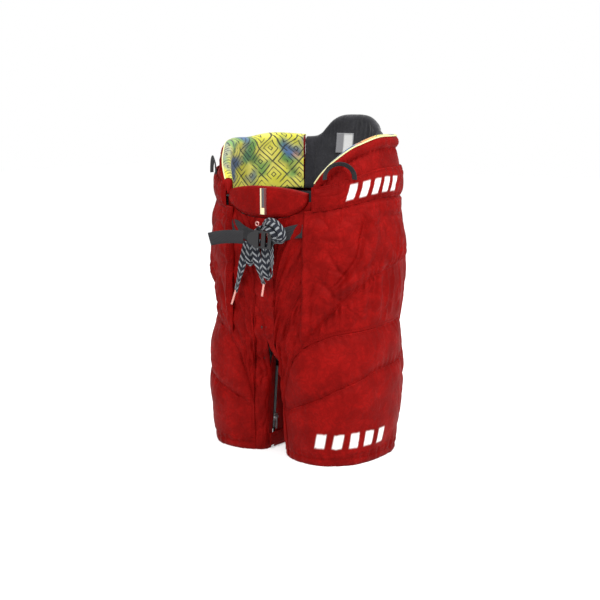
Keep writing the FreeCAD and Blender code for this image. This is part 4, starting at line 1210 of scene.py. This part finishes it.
def tube(name, line, radius, finish, around=10):
    """Round tube along a line."""
    along = unit(np.gradient(line, axis=0))
    across = unit(np.cross(along, np.array([0.0, 0.35, 1.0])))
    out = np.cross(along, across)
    turn = np.arange(around) * 2.0 * math.pi / around
    rings = line[:, None] + radius * (across[:, None] * np.cos(turn)[None, :, None]
                                      + out[:, None] * np.sin(turn)[None, :, None])
    return loft(name, rings, finish)


LINING_ROLL = [(0.0139, 0.0180), (0.0141, 0.0125), (0.0146, 0.0085), (0.0138, 0.0036), (0.0112, 0.0002),
               (0.0072, -0.0012), (0.0034, -0.0009), (0.0010, 0.0002)]


def lining(side, sign, seed):
    a = np.linspace(KIDNEY_FRONT + 0.004, SPINE_SEAM + 0.006, 141)
    top = kidney_top(side, a)
    depth, below = np.array(LINING_ROLL).T
    rows = np.linspace(0.0, 1.0, 24)[:-1]
    z = [PAD_FOOT + (top - below[0] - PAD_FOOT) * t for t in rows] + [top - b for b in below]
    z = np.stack(z, 1)
    depth = np.repeat(np.concatenate([0.0 * rows + 0.0138, depth])[None], len(a), 0)
    a = np.repeat(a[:, None], z.shape[1], 1)
    depth = depth + lean("kidney_" + side, a, z)
    flat = stand(trunk_outline, a, z, -depth)
    u, v = run(flat, 0), run(flat, 1)
    pillow = 0.0030 * smooth_step((top[:, None] - z) / 0.016) * (crinkle(u, v, 0.060, seed + 91) - 0.3)
    outer = stand(trunk_outline, a, z, -depth - pillow)
    turn = unit(np.gradient(outer, axis=1))
    level = unit(np.gradient(outer, axis=0))
    inner = outer + 0.0008 * np.cross(turn, level)
    piece = sheet("printed_lining_" + side, mirror(outer, sign), mirror(inner, sign), printed_lining)
    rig.replaces(piece, "kidney_lining_" + side)
    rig.slot(piece, "printed_lining")
    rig.sheet(piece, held="stretched", rests_on=["kidney_pad_cloth_" + side], **flat_cut(flat))
    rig.ride(piece, "trunk")
    edging = tube("piping_" + side, mirror(outer[:, -1], sign), 0.0011, piping_finish)
    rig.slot(edging, "printed_lining")
    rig.padded(edging, fill=1.0)
    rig.ride(edging, "trunk")


both_sides(lining)


# ---- Belt, buckle and tail ------------------------------------------------------------------------
# Grey woven webbing, 20 mm wide: it comes out from under each hip panel, and its left end passes the
# buckle and stands free beyond it. The buckle is the frame's own, with its edges rounded.
BELT_WIDTH, WEBBING = 0.020, 0.0016


def webbing(name, colour, shade):
    """Woven tape: ribs along it and fine yarns across."""
    finish = Finish(name, Sheen_Weight=0.02, Specular_IOR_Level=0.10)
    u, v = finish.map("cloth")
    yarn = wave(u, 0.0016) * 0.5 + wave(u * 0.5 + v, 0.0024) * 0.5
    # Painted shade: the tone is darker in the grooves where the yarns dip, and a noise mottles it at random.
    groove_shade_and_mottle = yarn * (finish.noise(60.0) * 0.5 + 0.6)
    finish.feed(Base_Color=finish.mix(groove_shade_and_mottle, shade, colour), Roughness=0.85)
    finish.feed(Normal=finish.bump(yarn, 0.0006, 0.8))
    return finish.material


grey_webbing = webbing("grey_webbing", (0.034, 0.033, 0.036, 1.0), (0.013, 0.013, 0.014, 1.0))


def belt_middle(a):
    return 0.338 + 0.014 * smooth_step(np.abs(a + 1.0) / 0.24)


def belt_strap(side, start, end):
    a = np.linspace(start, end, 61)
    middle = belt_middle(a)
    z = between(middle - BELT_WIDTH / 2.0, middle + BELT_WIDTH / 2.0, 9)
    out = 0.0024 - 0.0044 * smooth_step((np.abs(a + 1.0) - 0.10) / 0.10)
    out = np.repeat(out[:, None], 9, 1) + 0.0004 * waves(np.repeat(a[:, None], 9, 1) * 0.17, z, 0.03, 101)
    a = np.repeat(a[:, None], 9, 1)
    piece = sheet("belt_webbing_" + side, stand(trunk_outline, a, z, out),
                  stand(trunk_outline, a, z, out - WEBBING), grey_webbing)
    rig.replaces(piece, "belt_strap_" + side)
    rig.slot(piece, "grey_webbing")
    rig.sheet(piece, held="stretched", rests_on=["fly_placket"], **flat_cut(stand(trunk_outline, a, z, out)))
    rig.ride(piece, "trunk")


belt_strap("left", -0.945, -0.70)
belt_strap("right", -1.30, -1.035)


def ribbon(name, line, across, width, thickness, finish):
    """Flat band along a line: rounded edges, its width in the direction given at each point."""
    along = unit(np.gradient(line, axis=0))
    across = unit(across - (across * along).sum(-1, keepdims=True) * along)
    out = np.cross(along, across)
    shape = np.array([(-0.5, 0.0), (-0.47, 0.36), (-0.25, 0.5), (0.0, 0.5), (0.25, 0.5), (0.47, 0.36),
                      (0.5, 0.0), (0.47, -0.36), (0.25, -0.5), (0.0, -0.5), (-0.25, -0.5), (-0.47, -0.36)])
    rings = (line[:, None] + across[:, None] * shape[None, :, :1] * width
             + out[:, None] * shape[None, :, 1:] * thickness)
    return loft(name, rings, finish)


PIVOT = np.array([0.0225, MIDDLE_Y - 0.117, 0.3375])
TILT, TURN = math.radians(4.0), math.radians(15.0)


def at_buckle(points):
    """From round the buckle's bar to its place: turned in its plane, then its free end out."""
    x, y, z = np.moveaxis(points, -1, 0)
    x, z = x * math.cos(TILT) + z * math.sin(TILT), z * math.cos(TILT) - x * math.sin(TILT)
    x, y = x * math.cos(TURN) - y * math.sin(TURN), x * math.sin(TURN) + y * math.cos(TURN)
    return np.stack([x, y, z], -1) + PIVOT


def belt_tail():
    t = np.linspace(0.0, 1.0, 41)
    line = np.stack([-0.0426 - 0.055 * t, -0.0026 - 0.0012 * t * t, -0.009 * t * t], -1)
    line[:, 1] -= 0.0012 * np.sin(7.0 * t)
    piece = ribbon("belt_tail_webbing", at_buckle(line), np.tile([0.12, 0.0, 1.0], (41, 1)), BELT_WIDTH,
                   WEBBING, grey_webbing)
    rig.replaces(piece, "belt_tail")
    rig.slot(piece, "grey_webbing")
    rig.sheet(piece, flat=(BELT_WIDTH, 0.056), held="stretched", rests_on=["belt_buckle"])
    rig.ride(piece, "belt_tail")


belt_tail()


def hard(node, finish, rounding=None):
    """Finish one of the frame's moulded or metal pieces. With a rounding, a copy whose edges are
    bevelled stands for it."""
    piece = frame["nodes"][node]
    if rounding is not None:
        copy = bpy.data.objects.new(node + "_rounded", piece.data.copy())
        bpy.context.scene.collection.objects.link(copy)
        shape = bmesh.new()
        shape.from_mesh(copy.data)
        bmesh.ops.remove_doubles(shape, verts=shape.verts, dist=0.00002)
        bmesh.ops.dissolve_limit(shape, angle_limit=math.radians(2.0), verts=shape.verts, edges=shape.edges)
        sharp = [edge for edge in shape.edges
                 if len(edge.link_faces) == 2 and edge.calc_face_angle() > math.radians(35.0)]
        bmesh.ops.bevel(shape, geom=sharp, offset=rounding, segments=2, affect="EDGES", profile=0.5,
                        clamp_overlap=True)
        shape.to_mesh(copy.data)
        shape.free()
        body = piece["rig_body"]
        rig.replaces(copy, node)
        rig.ride(copy, body)
        piece = copy
    piece.data.materials.clear()
    piece.data.materials.append(finish.material)
    return piece


buckle_plastic = Finish("buckle_plastic", Base_Color=(0.006, 0.006, 0.007, 1.0), Specular_IOR_Level=0.45)
buckle_plastic.feed(Roughness=buckle_plastic.noise(300.0) * 0.10 + 0.28,
                    Normal=buckle_plastic.bump(buckle_plastic.noise(900.0), 0.0002, 0.4))
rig.slot(hard("belt_buckle", buckle_plastic, 0.0005), "buckle_plastic")


# ---- Laces ----------------------------------------------------------------------------------------
# One flat woven lace, 12 mm wide, dark slate with light-grey slanted stripes. It is tied in a bow over
# the belt; two loops and two ends hang in front of the fly, and each end has a crimped tip. Lengths are
# in metres, control points in millimetres from the hip line.
LACE_WIDTH, LACE_THICKNESS = 0.0122, 0.0016
LACES = {
    "end_right": (0.0802, [(-27.0, -112.6, 332.0), (-29.0, -113.6, 315.0), (-34.5, -115.0, 296.0),
                           (-40.0, -115.2, 276.0), (-48.0, -114.0, 255.0)]),
    "loop_right": (0.0712, [(-21.0, -112.6, 332.0), (-21.6, -113.6, 317.0), (-21.0, -114.4, 306.0),
                            (-18.2, -114.6, 299.6), (-12.2, -114.6, 299.2), (-9.4, -114.6, 305.6),
                            (-9.0, -113.6, 317.0), (-9.8, -112.6, 332.0)]),
    "end_left": (0.0636, [(-7.0, -117.8, 332.0), (-4.0, -118.6, 316.0), (1.4, -119.2, 300.0),
                          (5.0, -119.0, 285.0), (10.4, -118.0, 271.0)]),
    "loop_left": (0.1083, [(7.0, -112.6, 332.0), (7.8, -113.6, 316.0), (11.0, -114.4, 301.5),
                           (12.4, -114.8, 290.0), (14.2, -114.8, 283.6), (19.0, -114.8, 280.2),
                           (23.6, -114.8, 283.8), (24.0, -114.8, 290.4), (22.2, -114.4, 301.0),
                           (19.2, -113.6, 316.0), (18.4, -112.6, 332.0)]),
}
AGLET_TIPS = {"end_right": (-57.5, -112.8, 233.0), "end_left": (6.0, -117.2, 252.5)}


def smooth_line(points):
    """Points along a NURBS spline with these control points."""
    curve = bpy.data.curves.new("line", "CURVE")
    curve.dimensions = "3D"
    curve.resolution_u = 12
    spline = curve.splines.new("NURBS")
    spline.points.add(len(points) - 1)
    spline.points.foreach_set("co", np.c_[points, np.ones(len(points))].ravel())
    spline.order_u = 3
    spline.use_endpoint_u = True
    holder = bpy.data.objects.new("line", curve)
    mesh = bpy.data.meshes.new_from_object(holder)
    line = np.empty(3 * len(mesh.vertices))
    mesh.vertices.foreach_get("co", line)
    bpy.data.objects.remove(holder)
    bpy.data.meshes.remove(mesh)
    return line.reshape(-1, 3)


def lace_finish():
    finish = Finish("striped_lace", Sheen_Weight=0.05, Specular_IOR_Level=0.12, Roughness=0.8)
    u, v = finish.map("cloth")
    middle = (v - 0.5 * LACE_WIDTH).math("ABSOLUTE")
    folded = (v.math("PINGPONG", 2.2 * LACE_WIDTH / 2.0) - 0.5 * LACE_WIDTH).math("ABSOLUTE")
    stripe = wave(u + folded * 1.1, 0.0095).ramp(0.64, 0.78)
    spine = 1.0 - folded.ramp(0.0006, 0.0012)
    tone = finish.mix(stripe * (1.0 - spine) * 0.9, (0.010, 0.012, 0.018, 1.0), (0.22, 0.23, 0.24, 1.0))
    finish.feed(Base_Color=tone)
    yarn = wave(u + middle, 0.0013) * wave(v, 0.0013)
    finish.feed(Normal=finish.bump(yarn, 0.0005, 0.8))
    return finish.material


striped_lace = lace_finish()
aglet_plastic = plain("aglet_plastic", Base_Color=(0.55, 0.24, 0.20, 1.0), Roughness=0.3,
                      Specular_IOR_Level=0.6)
FORWARD = np.array([0.0, -1.0, 0.0])


def in_place(points):
    return np.array(points) * 0.001 + np.array([0.0, MIDDLE_Y, 0.0])


for name, (length, points) in LACES.items():
    line = smooth_line(in_place(points))
    along = unit(np.gradient(line, axis=0))
    flatwise = np.cross(along, FORWARD)
    if "loop" in name:
        drop = (line[:, 2].max() - line[:, 2]) / np.ptp(line[:, 2])
        turn = (smooth_step((drop - 0.35) / 0.6) * math.radians(62.0))[:, None]
        flatwise = flatwise * np.cos(turn) + FORWARD * np.sin(turn)
    else:
        turn = (0.5 * np.sin(np.linspace(0.0, 5.0, len(line))))[:, None]
        flatwise = flatwise * np.cos(turn) + FORWARD * np.sin(turn)
    lace = ribbon("lace_strip_" + name, line, flatwise, LACE_WIDTH, LACE_THICKNESS, striped_lace)
    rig.replaces(lace, "lace_" + name)
    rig.slot(lace, "striped_lace")
    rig.ride(lace, "trunk")
    tips = []
    if name in AGLET_TIPS:
        tip = in_place(AGLET_TIPS[name])
        way = unit(tip - line[-1])
        crimp = tube("lace_tip_" + name, np.linspace(line[-1] - way * 0.0012, tip, 9), 0.0016, aglet_plastic)
        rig.replaces(crimp, "lace_aglets")
        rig.slot(crimp, "aglet_plastic")
        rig.ride(crimp, "trunk")
        tips = [crimp]
    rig.cord(lace, exit=tuple(line[0]), length=length, diameter=0.010,
            far_end="fitting" if tips else "object", stiffness="limp", lay="hanging",
            path=line, with_pieces=tips)


# The bow itself: two flat bands of the same lace that bulge over the belt and the buckle's corner, and a
# third behind them.
BOW = [
    ("bow_upper", [(2, -111, 352), (9, -116, 362), (21, -119.5, 367), (36, -120, 363), (46, -119, 351),
                   (45, -118, 341), (36, -117, 336), (29, -116, 342)], 0.80),
    ("bow_lower", [(0, -112, 350), (8, -117, 356), (20, -120.5, 358), (32, -120.5, 352), (38, -119, 343),
                   (32, -118, 336), (24, -116, 338)], 0.75),
    ("bow_back", [(8, -113, 357), (-2, -114, 353), (-9, -114.5, 344), (-8, -114, 335), (-2, -113.5, 331)],
     0.30),
]
for name, points, flat_share in BOW:
    line = smooth_line(in_place(points))
    along = unit(np.gradient(line, axis=0))
    across = np.cross(along, FORWARD) * flat_share + FORWARD * math.sqrt(1.0 - flat_share ** 2)
    band = ribbon("lace_" + name, line, across, LACE_WIDTH, LACE_THICKNESS, striped_lace)
    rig.replaces(band, "lace_knot")
    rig.slot(band, "striped_lace")
    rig.sheet(band, flat=(LACE_WIDTH, float(run(line[:, None], 0)[-1, 0])), held="folded",
             rests_on=["belt_webbing_left"])
    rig.ride(band, "trunk")

eyelet_metal = Finish("eyelet_metal", Base_Color=(0.62, 0.33, 0.30, 1.0), Metallic=0.5, Roughness=0.38)
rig.slot(hard("fly_eyelets", eyelet_metal), "eyelet_metal")


# ---- Belly pad ------------------------------------------------------------------------------------
# Foam shield in nylon, nearly level on top and rounded below, with a woven strip down the middle: cream
# with a dark bar beside it and a plain cream end.
def belly_pad():
    t = np.linspace(-1.0, 1.0, 121)
    a = -1.0 + 0.30 * t
    foot = belly_foot(a)
    top = 0.4155 - 0.0085 * t * t
    z = between(foot, top, 41)
    a = np.repeat(a[:, None], 41, 1)
    flat = stand(trunk_outline, a, z, 0.0 * a)
    u, v = run(flat, 0), run(flat, 1)
    edge = edge_map(flat, "snwe")
    near = edge[..., 0]
    bulge = 0.0022 * (1.0 - np.exp(-near / 0.010)) - 0.0052 * np.exp(-near / 0.0022)
    out = bulge + 0.0008 * (crinkle(u, v, 0.040, 111, 0.7) - 0.6) * (1.0 - np.exp(-near / 0.006))
    inner = -0.011 - 0.4 * bulge
    piece = sheet("belly_pad_cloth", stand(trunk_outline, a, z, out), stand(trunk_outline, a, z, inner),
                  red_nylon, edge)
    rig.replaces(piece, "belly_pad")
    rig.slot(piece, "red_nylon")
    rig.padded(piece, fill=0.6)
    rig.ride(piece, "belly_pad")


belly_pad()


def woven_strip():
    x = np.linspace(-0.0020, 0.0090, 17)
    z = between(0.374 + 0.0 * x, 0.4125 + 0.0 * x, 41)
    x = np.repeat(x[:, None], 41, 1)
    y = MIDDLE_Y - trunk_depth(z, False) * (1.0 - 0.5 * (x / 0.15) ** 2) - 0.0034
    outer = np.stack([x, y, z], -1)
    finish = Finish("woven_strip", Roughness=0.8, Sheen_Weight=0.2)
    u, v = finish.map("cloth")
    bar = u.between(0.0040, 0.0082) * v.ramp(0.0105, 0.0110)
    cream = u.between(0.0012, 0.0032) + u.between(0.0034, 0.0086) * (1.0 - v.ramp(0.0095, 0.0100))
    tone = finish.mix(cream, (0.10, 0.006, 0.006, 1.0), (0.70, 0.62, 0.36, 1.0))
    tone = finish.mix(bar, tone, (0.050, 0.050, 0.055, 1.0))
    finish.feed(Base_Color=tone, Normal=finish.bump(wave(v, 0.0009) * wave(u, 0.0009), 0.0003, 0.6))
    piece = sheet("woven_strip", outer, outer + np.array([0.0, 0.0016, 0.0]), finish.material)
    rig.slot(piece, "red_nylon")
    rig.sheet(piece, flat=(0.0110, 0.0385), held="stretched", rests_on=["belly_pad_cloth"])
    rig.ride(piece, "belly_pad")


woven_strip()


# ---- Hanger loops ---------------------------------------------------------------------------------
# An arch of dark webbing outside each kidney pad, sewn down at both feet; the right one lies closer. Each
# stand is the gap to the trunk's outline, then how far the band's width turns outward and along the arch.
loop_webbing = webbing("loop_webbing", (0.030, 0.030, 0.033, 1.0), (0.011, 0.011, 0.012, 1.0))
LOOP_STAND = {"left": (0.0075, 0.85, 0.53), "right": (0.0050, 0.30, 0.95)}


def hanger_loop(side, sign, seed):
    gap, outward, spread = LOOP_STAND[side]
    base = stand(trunk_outline, np.array([-0.46]), np.array([0.431]), 0.0)[0]
    out = unit(stand(trunk_outline, np.array([-0.46]), np.array([0.431]), 0.01)[0] - base)
    beside = np.cross(out, [0.0, 0.0, 1.0])
    angle = np.linspace(-0.12, math.pi + 0.12, 61)
    line = (base + out * gap + np.cos(angle)[:, None] * beside * 0.0213
            + np.sin(angle)[:, None] * np.array([0.0, 0.0, 0.0200]))
    radial = np.cos(angle)[:, None] * beside + np.sin(angle)[:, None] * np.array([0.0, 0.0, 1.0])
    across = out * outward + radial * spread
    piece = ribbon("hanger_webbing_" + side, mirror(line, sign), mirror(across, sign), 0.011, WEBBING,
                   loop_webbing)
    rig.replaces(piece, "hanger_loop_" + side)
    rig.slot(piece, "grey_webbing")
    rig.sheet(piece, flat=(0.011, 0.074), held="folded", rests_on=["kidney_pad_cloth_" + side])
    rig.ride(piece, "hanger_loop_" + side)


both_sides(hanger_loop)


# ---- Label ----------------------------------------------------------------------------------------
# Plain white patch with a grey border, sewn inside the spine pad.
def label():
    a = np.linspace(0.965, 1.065, 21)
    z = between(0.456 + 0.0 * a, 0.488 + 0.0 * a, 21)
    a = np.repeat(a[:, None], 21, 1)
    finish = Finish("plain_label", Roughness=0.85)
    u, v = finish.map("cloth")
    inside = u.between(0.0016, 0.0185) * v.between(0.0016, 0.0304)
    finish.feed(Base_Color=finish.mix(inside, (0.16, 0.16, 0.17, 1.0), (0.50, 0.50, 0.50, 1.0)))
    depth = 0.0142 + lean("spine", a, z)
    outer = stand(trunk_outline, a, z, -depth)
    piece = sheet("plain_label", outer, stand(trunk_outline, a, z, 0.0014 - depth), finish.material)
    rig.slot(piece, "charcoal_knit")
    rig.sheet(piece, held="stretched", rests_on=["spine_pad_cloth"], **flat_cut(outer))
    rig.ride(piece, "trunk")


label()


# ---- Linings, gusset and foams --------------------------------------------------------------------
# Charcoal tricot inside the trunk and the legs, a mesh saddle between the legs, and the foams that the
# plates press on. They show only through the openings.
dark_lining = nylon("dark_lining", (0.020, 0.020, 0.023, 1.0), (0.010, 0.010, 0.012, 1.0), 0.9, 0.2)
dark_mesh = nylon("dark_mesh", (0.014, 0.014, 0.016, 1.0), (0.007, 0.007, 0.008, 1.0), 0.9, 0.2)
foam_finish = plain("foam", Base_Color=(0.55, 0.53, 0.47, 1.0), Roughness=0.95)


def trunk_lining():
    a = np.linspace(-0.97, 2.97, 241)
    around = np.where(a > 1.0, 2.0 - a, a)
    depth = 0.0092 + 0.0056 * smooth_step((around + 0.80) / 0.34)
    foot = np.full(241, 0.172)
    for _ in range(8):
        x, y = trunk_outline(a, foot)
        radius = TRUNK_CUT - 0.020 * smooth_step((np.abs(x) - 0.065) / 0.035)
        foot = HIP_LINE_Z - np.sqrt(np.clip(radius ** 2 - (np.abs(y) - depth) ** 2, 0.0, None))
    top = 0.393 - 0.034 * smooth_step((-0.62 - around) / 0.3)
    z = between(foot, top, 41)
    a, depth = np.repeat(a[:, None], 41, 1), np.repeat(depth[:, None], 41, 1)
    flat = stand(trunk_outline, a, z, -depth)
    crease = 0.0010 * (crinkle(run(flat, 0), run(flat, 1), 0.05, 121) - 0.5)
    piece = sheet("trunk_tricot", stand(trunk_outline, a, z, -depth + crease),
                  stand(trunk_outline, a, z, -depth - 0.0010 + crease), dark_lining)
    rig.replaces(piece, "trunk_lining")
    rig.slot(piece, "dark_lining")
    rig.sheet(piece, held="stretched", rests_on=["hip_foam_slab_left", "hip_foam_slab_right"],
             **flat_cut(flat))
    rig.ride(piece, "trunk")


trunk_lining()


def leg_lining(side, sign, seed):
    a = np.linspace(-1.573, 2.373, 221)
    pad = smooth_step((a + 1.42) / 0.30) * (1.0 - smooth_step((a - 0.40) / 0.30))
    depth = 0.0040 + 0.0112 * pad
    top = np.full(221, 0.18)
    for _ in range(8):
        x, y, z = np.moveaxis(stand(cloth_outline, a, top, -depth), -1, 0)
        radius = LEG_CUT - 0.020 * smooth_step((np.abs(x) - 0.065) / 0.035)
        top = HIP_LINE_Z - np.sqrt(np.clip(radius ** 2 - (y - MIDDLE_Y) ** 2, 0.0, None))
    z = between(0.003 + 0.0 * a, top, 41)
    a, depth = np.repeat(a[:, None], 41, 1), np.repeat(depth[:, None], 41, 1)
    flat = stand(cloth_outline, a, z, -depth)
    piece = sheet("leg_tricot_" + side, mirror(flat, sign),
                  mirror(stand(cloth_outline, a, z, -depth - 0.0010), sign), dark_lining)
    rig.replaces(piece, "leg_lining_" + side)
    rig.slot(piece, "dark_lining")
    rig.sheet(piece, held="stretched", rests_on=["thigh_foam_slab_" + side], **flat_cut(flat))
    hang_from_hip(piece, side, sign)


both_sides(leg_lining)


def gusset():
    angle = np.linspace(-0.50, 0.50, 81)
    x = between(np.full(81, -0.027), np.full(81, 0.027), 25)
    angle = np.repeat(angle[:, None], 25, 1)
    rib = 0.0007 * np.sin(x * 2.0 * math.pi / 0.006)
    rings = [np.stack([x, MIDDLE_Y + r * np.sin(angle), HIP_LINE_Z - r * np.cos(angle)], -1)
             for r in (0.1465 + rib, 0.1442 + rib)]
    piece = sheet("gusset_mesh", rings[0], rings[1], dark_mesh)
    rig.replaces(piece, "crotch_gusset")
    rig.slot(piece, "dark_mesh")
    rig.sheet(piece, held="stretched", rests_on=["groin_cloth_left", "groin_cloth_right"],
             **flat_cut(rings[0]))
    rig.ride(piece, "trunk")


gusset()


def foam(name, node, body, outline, place, start, sign):
    first, last, foot, top = place
    a = np.linspace(first, last, 41)
    z = between(foot + 0.0 * a, top + 0.0 * a, 21)
    a = np.repeat(a[:, None], 21, 1)
    piece = sheet(name, mirror(stand(outline, a, z, -start + 0.0 * a), sign),
                  mirror(stand(outline, a, z, -start - 0.008 + 0.0 * a), sign), foam_finish)
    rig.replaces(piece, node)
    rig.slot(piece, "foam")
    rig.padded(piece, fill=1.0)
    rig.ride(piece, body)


both_sides(lambda side, sign, seed: foam("hip_foam_slab_" + side, "hip_foam_" + side, "trunk", trunk_outline,
                                         (-0.40, 0.345, 0.208, 0.374), 0.0052, sign))
both_sides(lambda side, sign, seed: foam("thigh_foam_slab_" + side, "thigh_foam_" + side, "leg_" + side,
                                         cloth_outline, (-1.04, 0.33, 0.012, 0.164), 0.0052, sign))
foam("tailbone_foam", "tailbone_pad", "trunk", trunk_outline, (0.82, 1.18, 0.236, 0.340), 0.0030, 1.0)


# ---- Plates and small metal -----------------------------------------------------------------------
# The moulded hip caps and thigh guards, and the zips' sliders and pulls and the press studs, keep the
# frame's own shapes.
guard_plastic = Finish("guard_plastic", Base_Color=(0.70, 0.70, 0.68, 1.0), Roughness=0.4)
zip_metal = Finish("zip_metal", Base_Color=(0.42, 0.42, 0.43, 1.0), Metallic=1.0)
zip_metal.feed(Roughness=zip_metal.noise(400.0) * 0.2 + 0.25)
for side in ("left", "right"):
    for node, finish, rounding in (("hip_cap_", guard_plastic, None), ("thigh_guard_", guard_plastic, None),
                                   ("zip_slider_", zip_metal, 0.0002), ("zip_pull_", zip_metal, 0.0002),
                                   ("snap_cap_", zip_metal, None), ("snap_stud_", zip_metal, None)):
        slot = "guard_plastic" if finish is guard_plastic else "zip_metal"
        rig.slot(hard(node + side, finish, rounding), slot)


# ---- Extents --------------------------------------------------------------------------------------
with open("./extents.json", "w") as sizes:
    json.dump({"cad": [list(corner) for corner in cad_box],
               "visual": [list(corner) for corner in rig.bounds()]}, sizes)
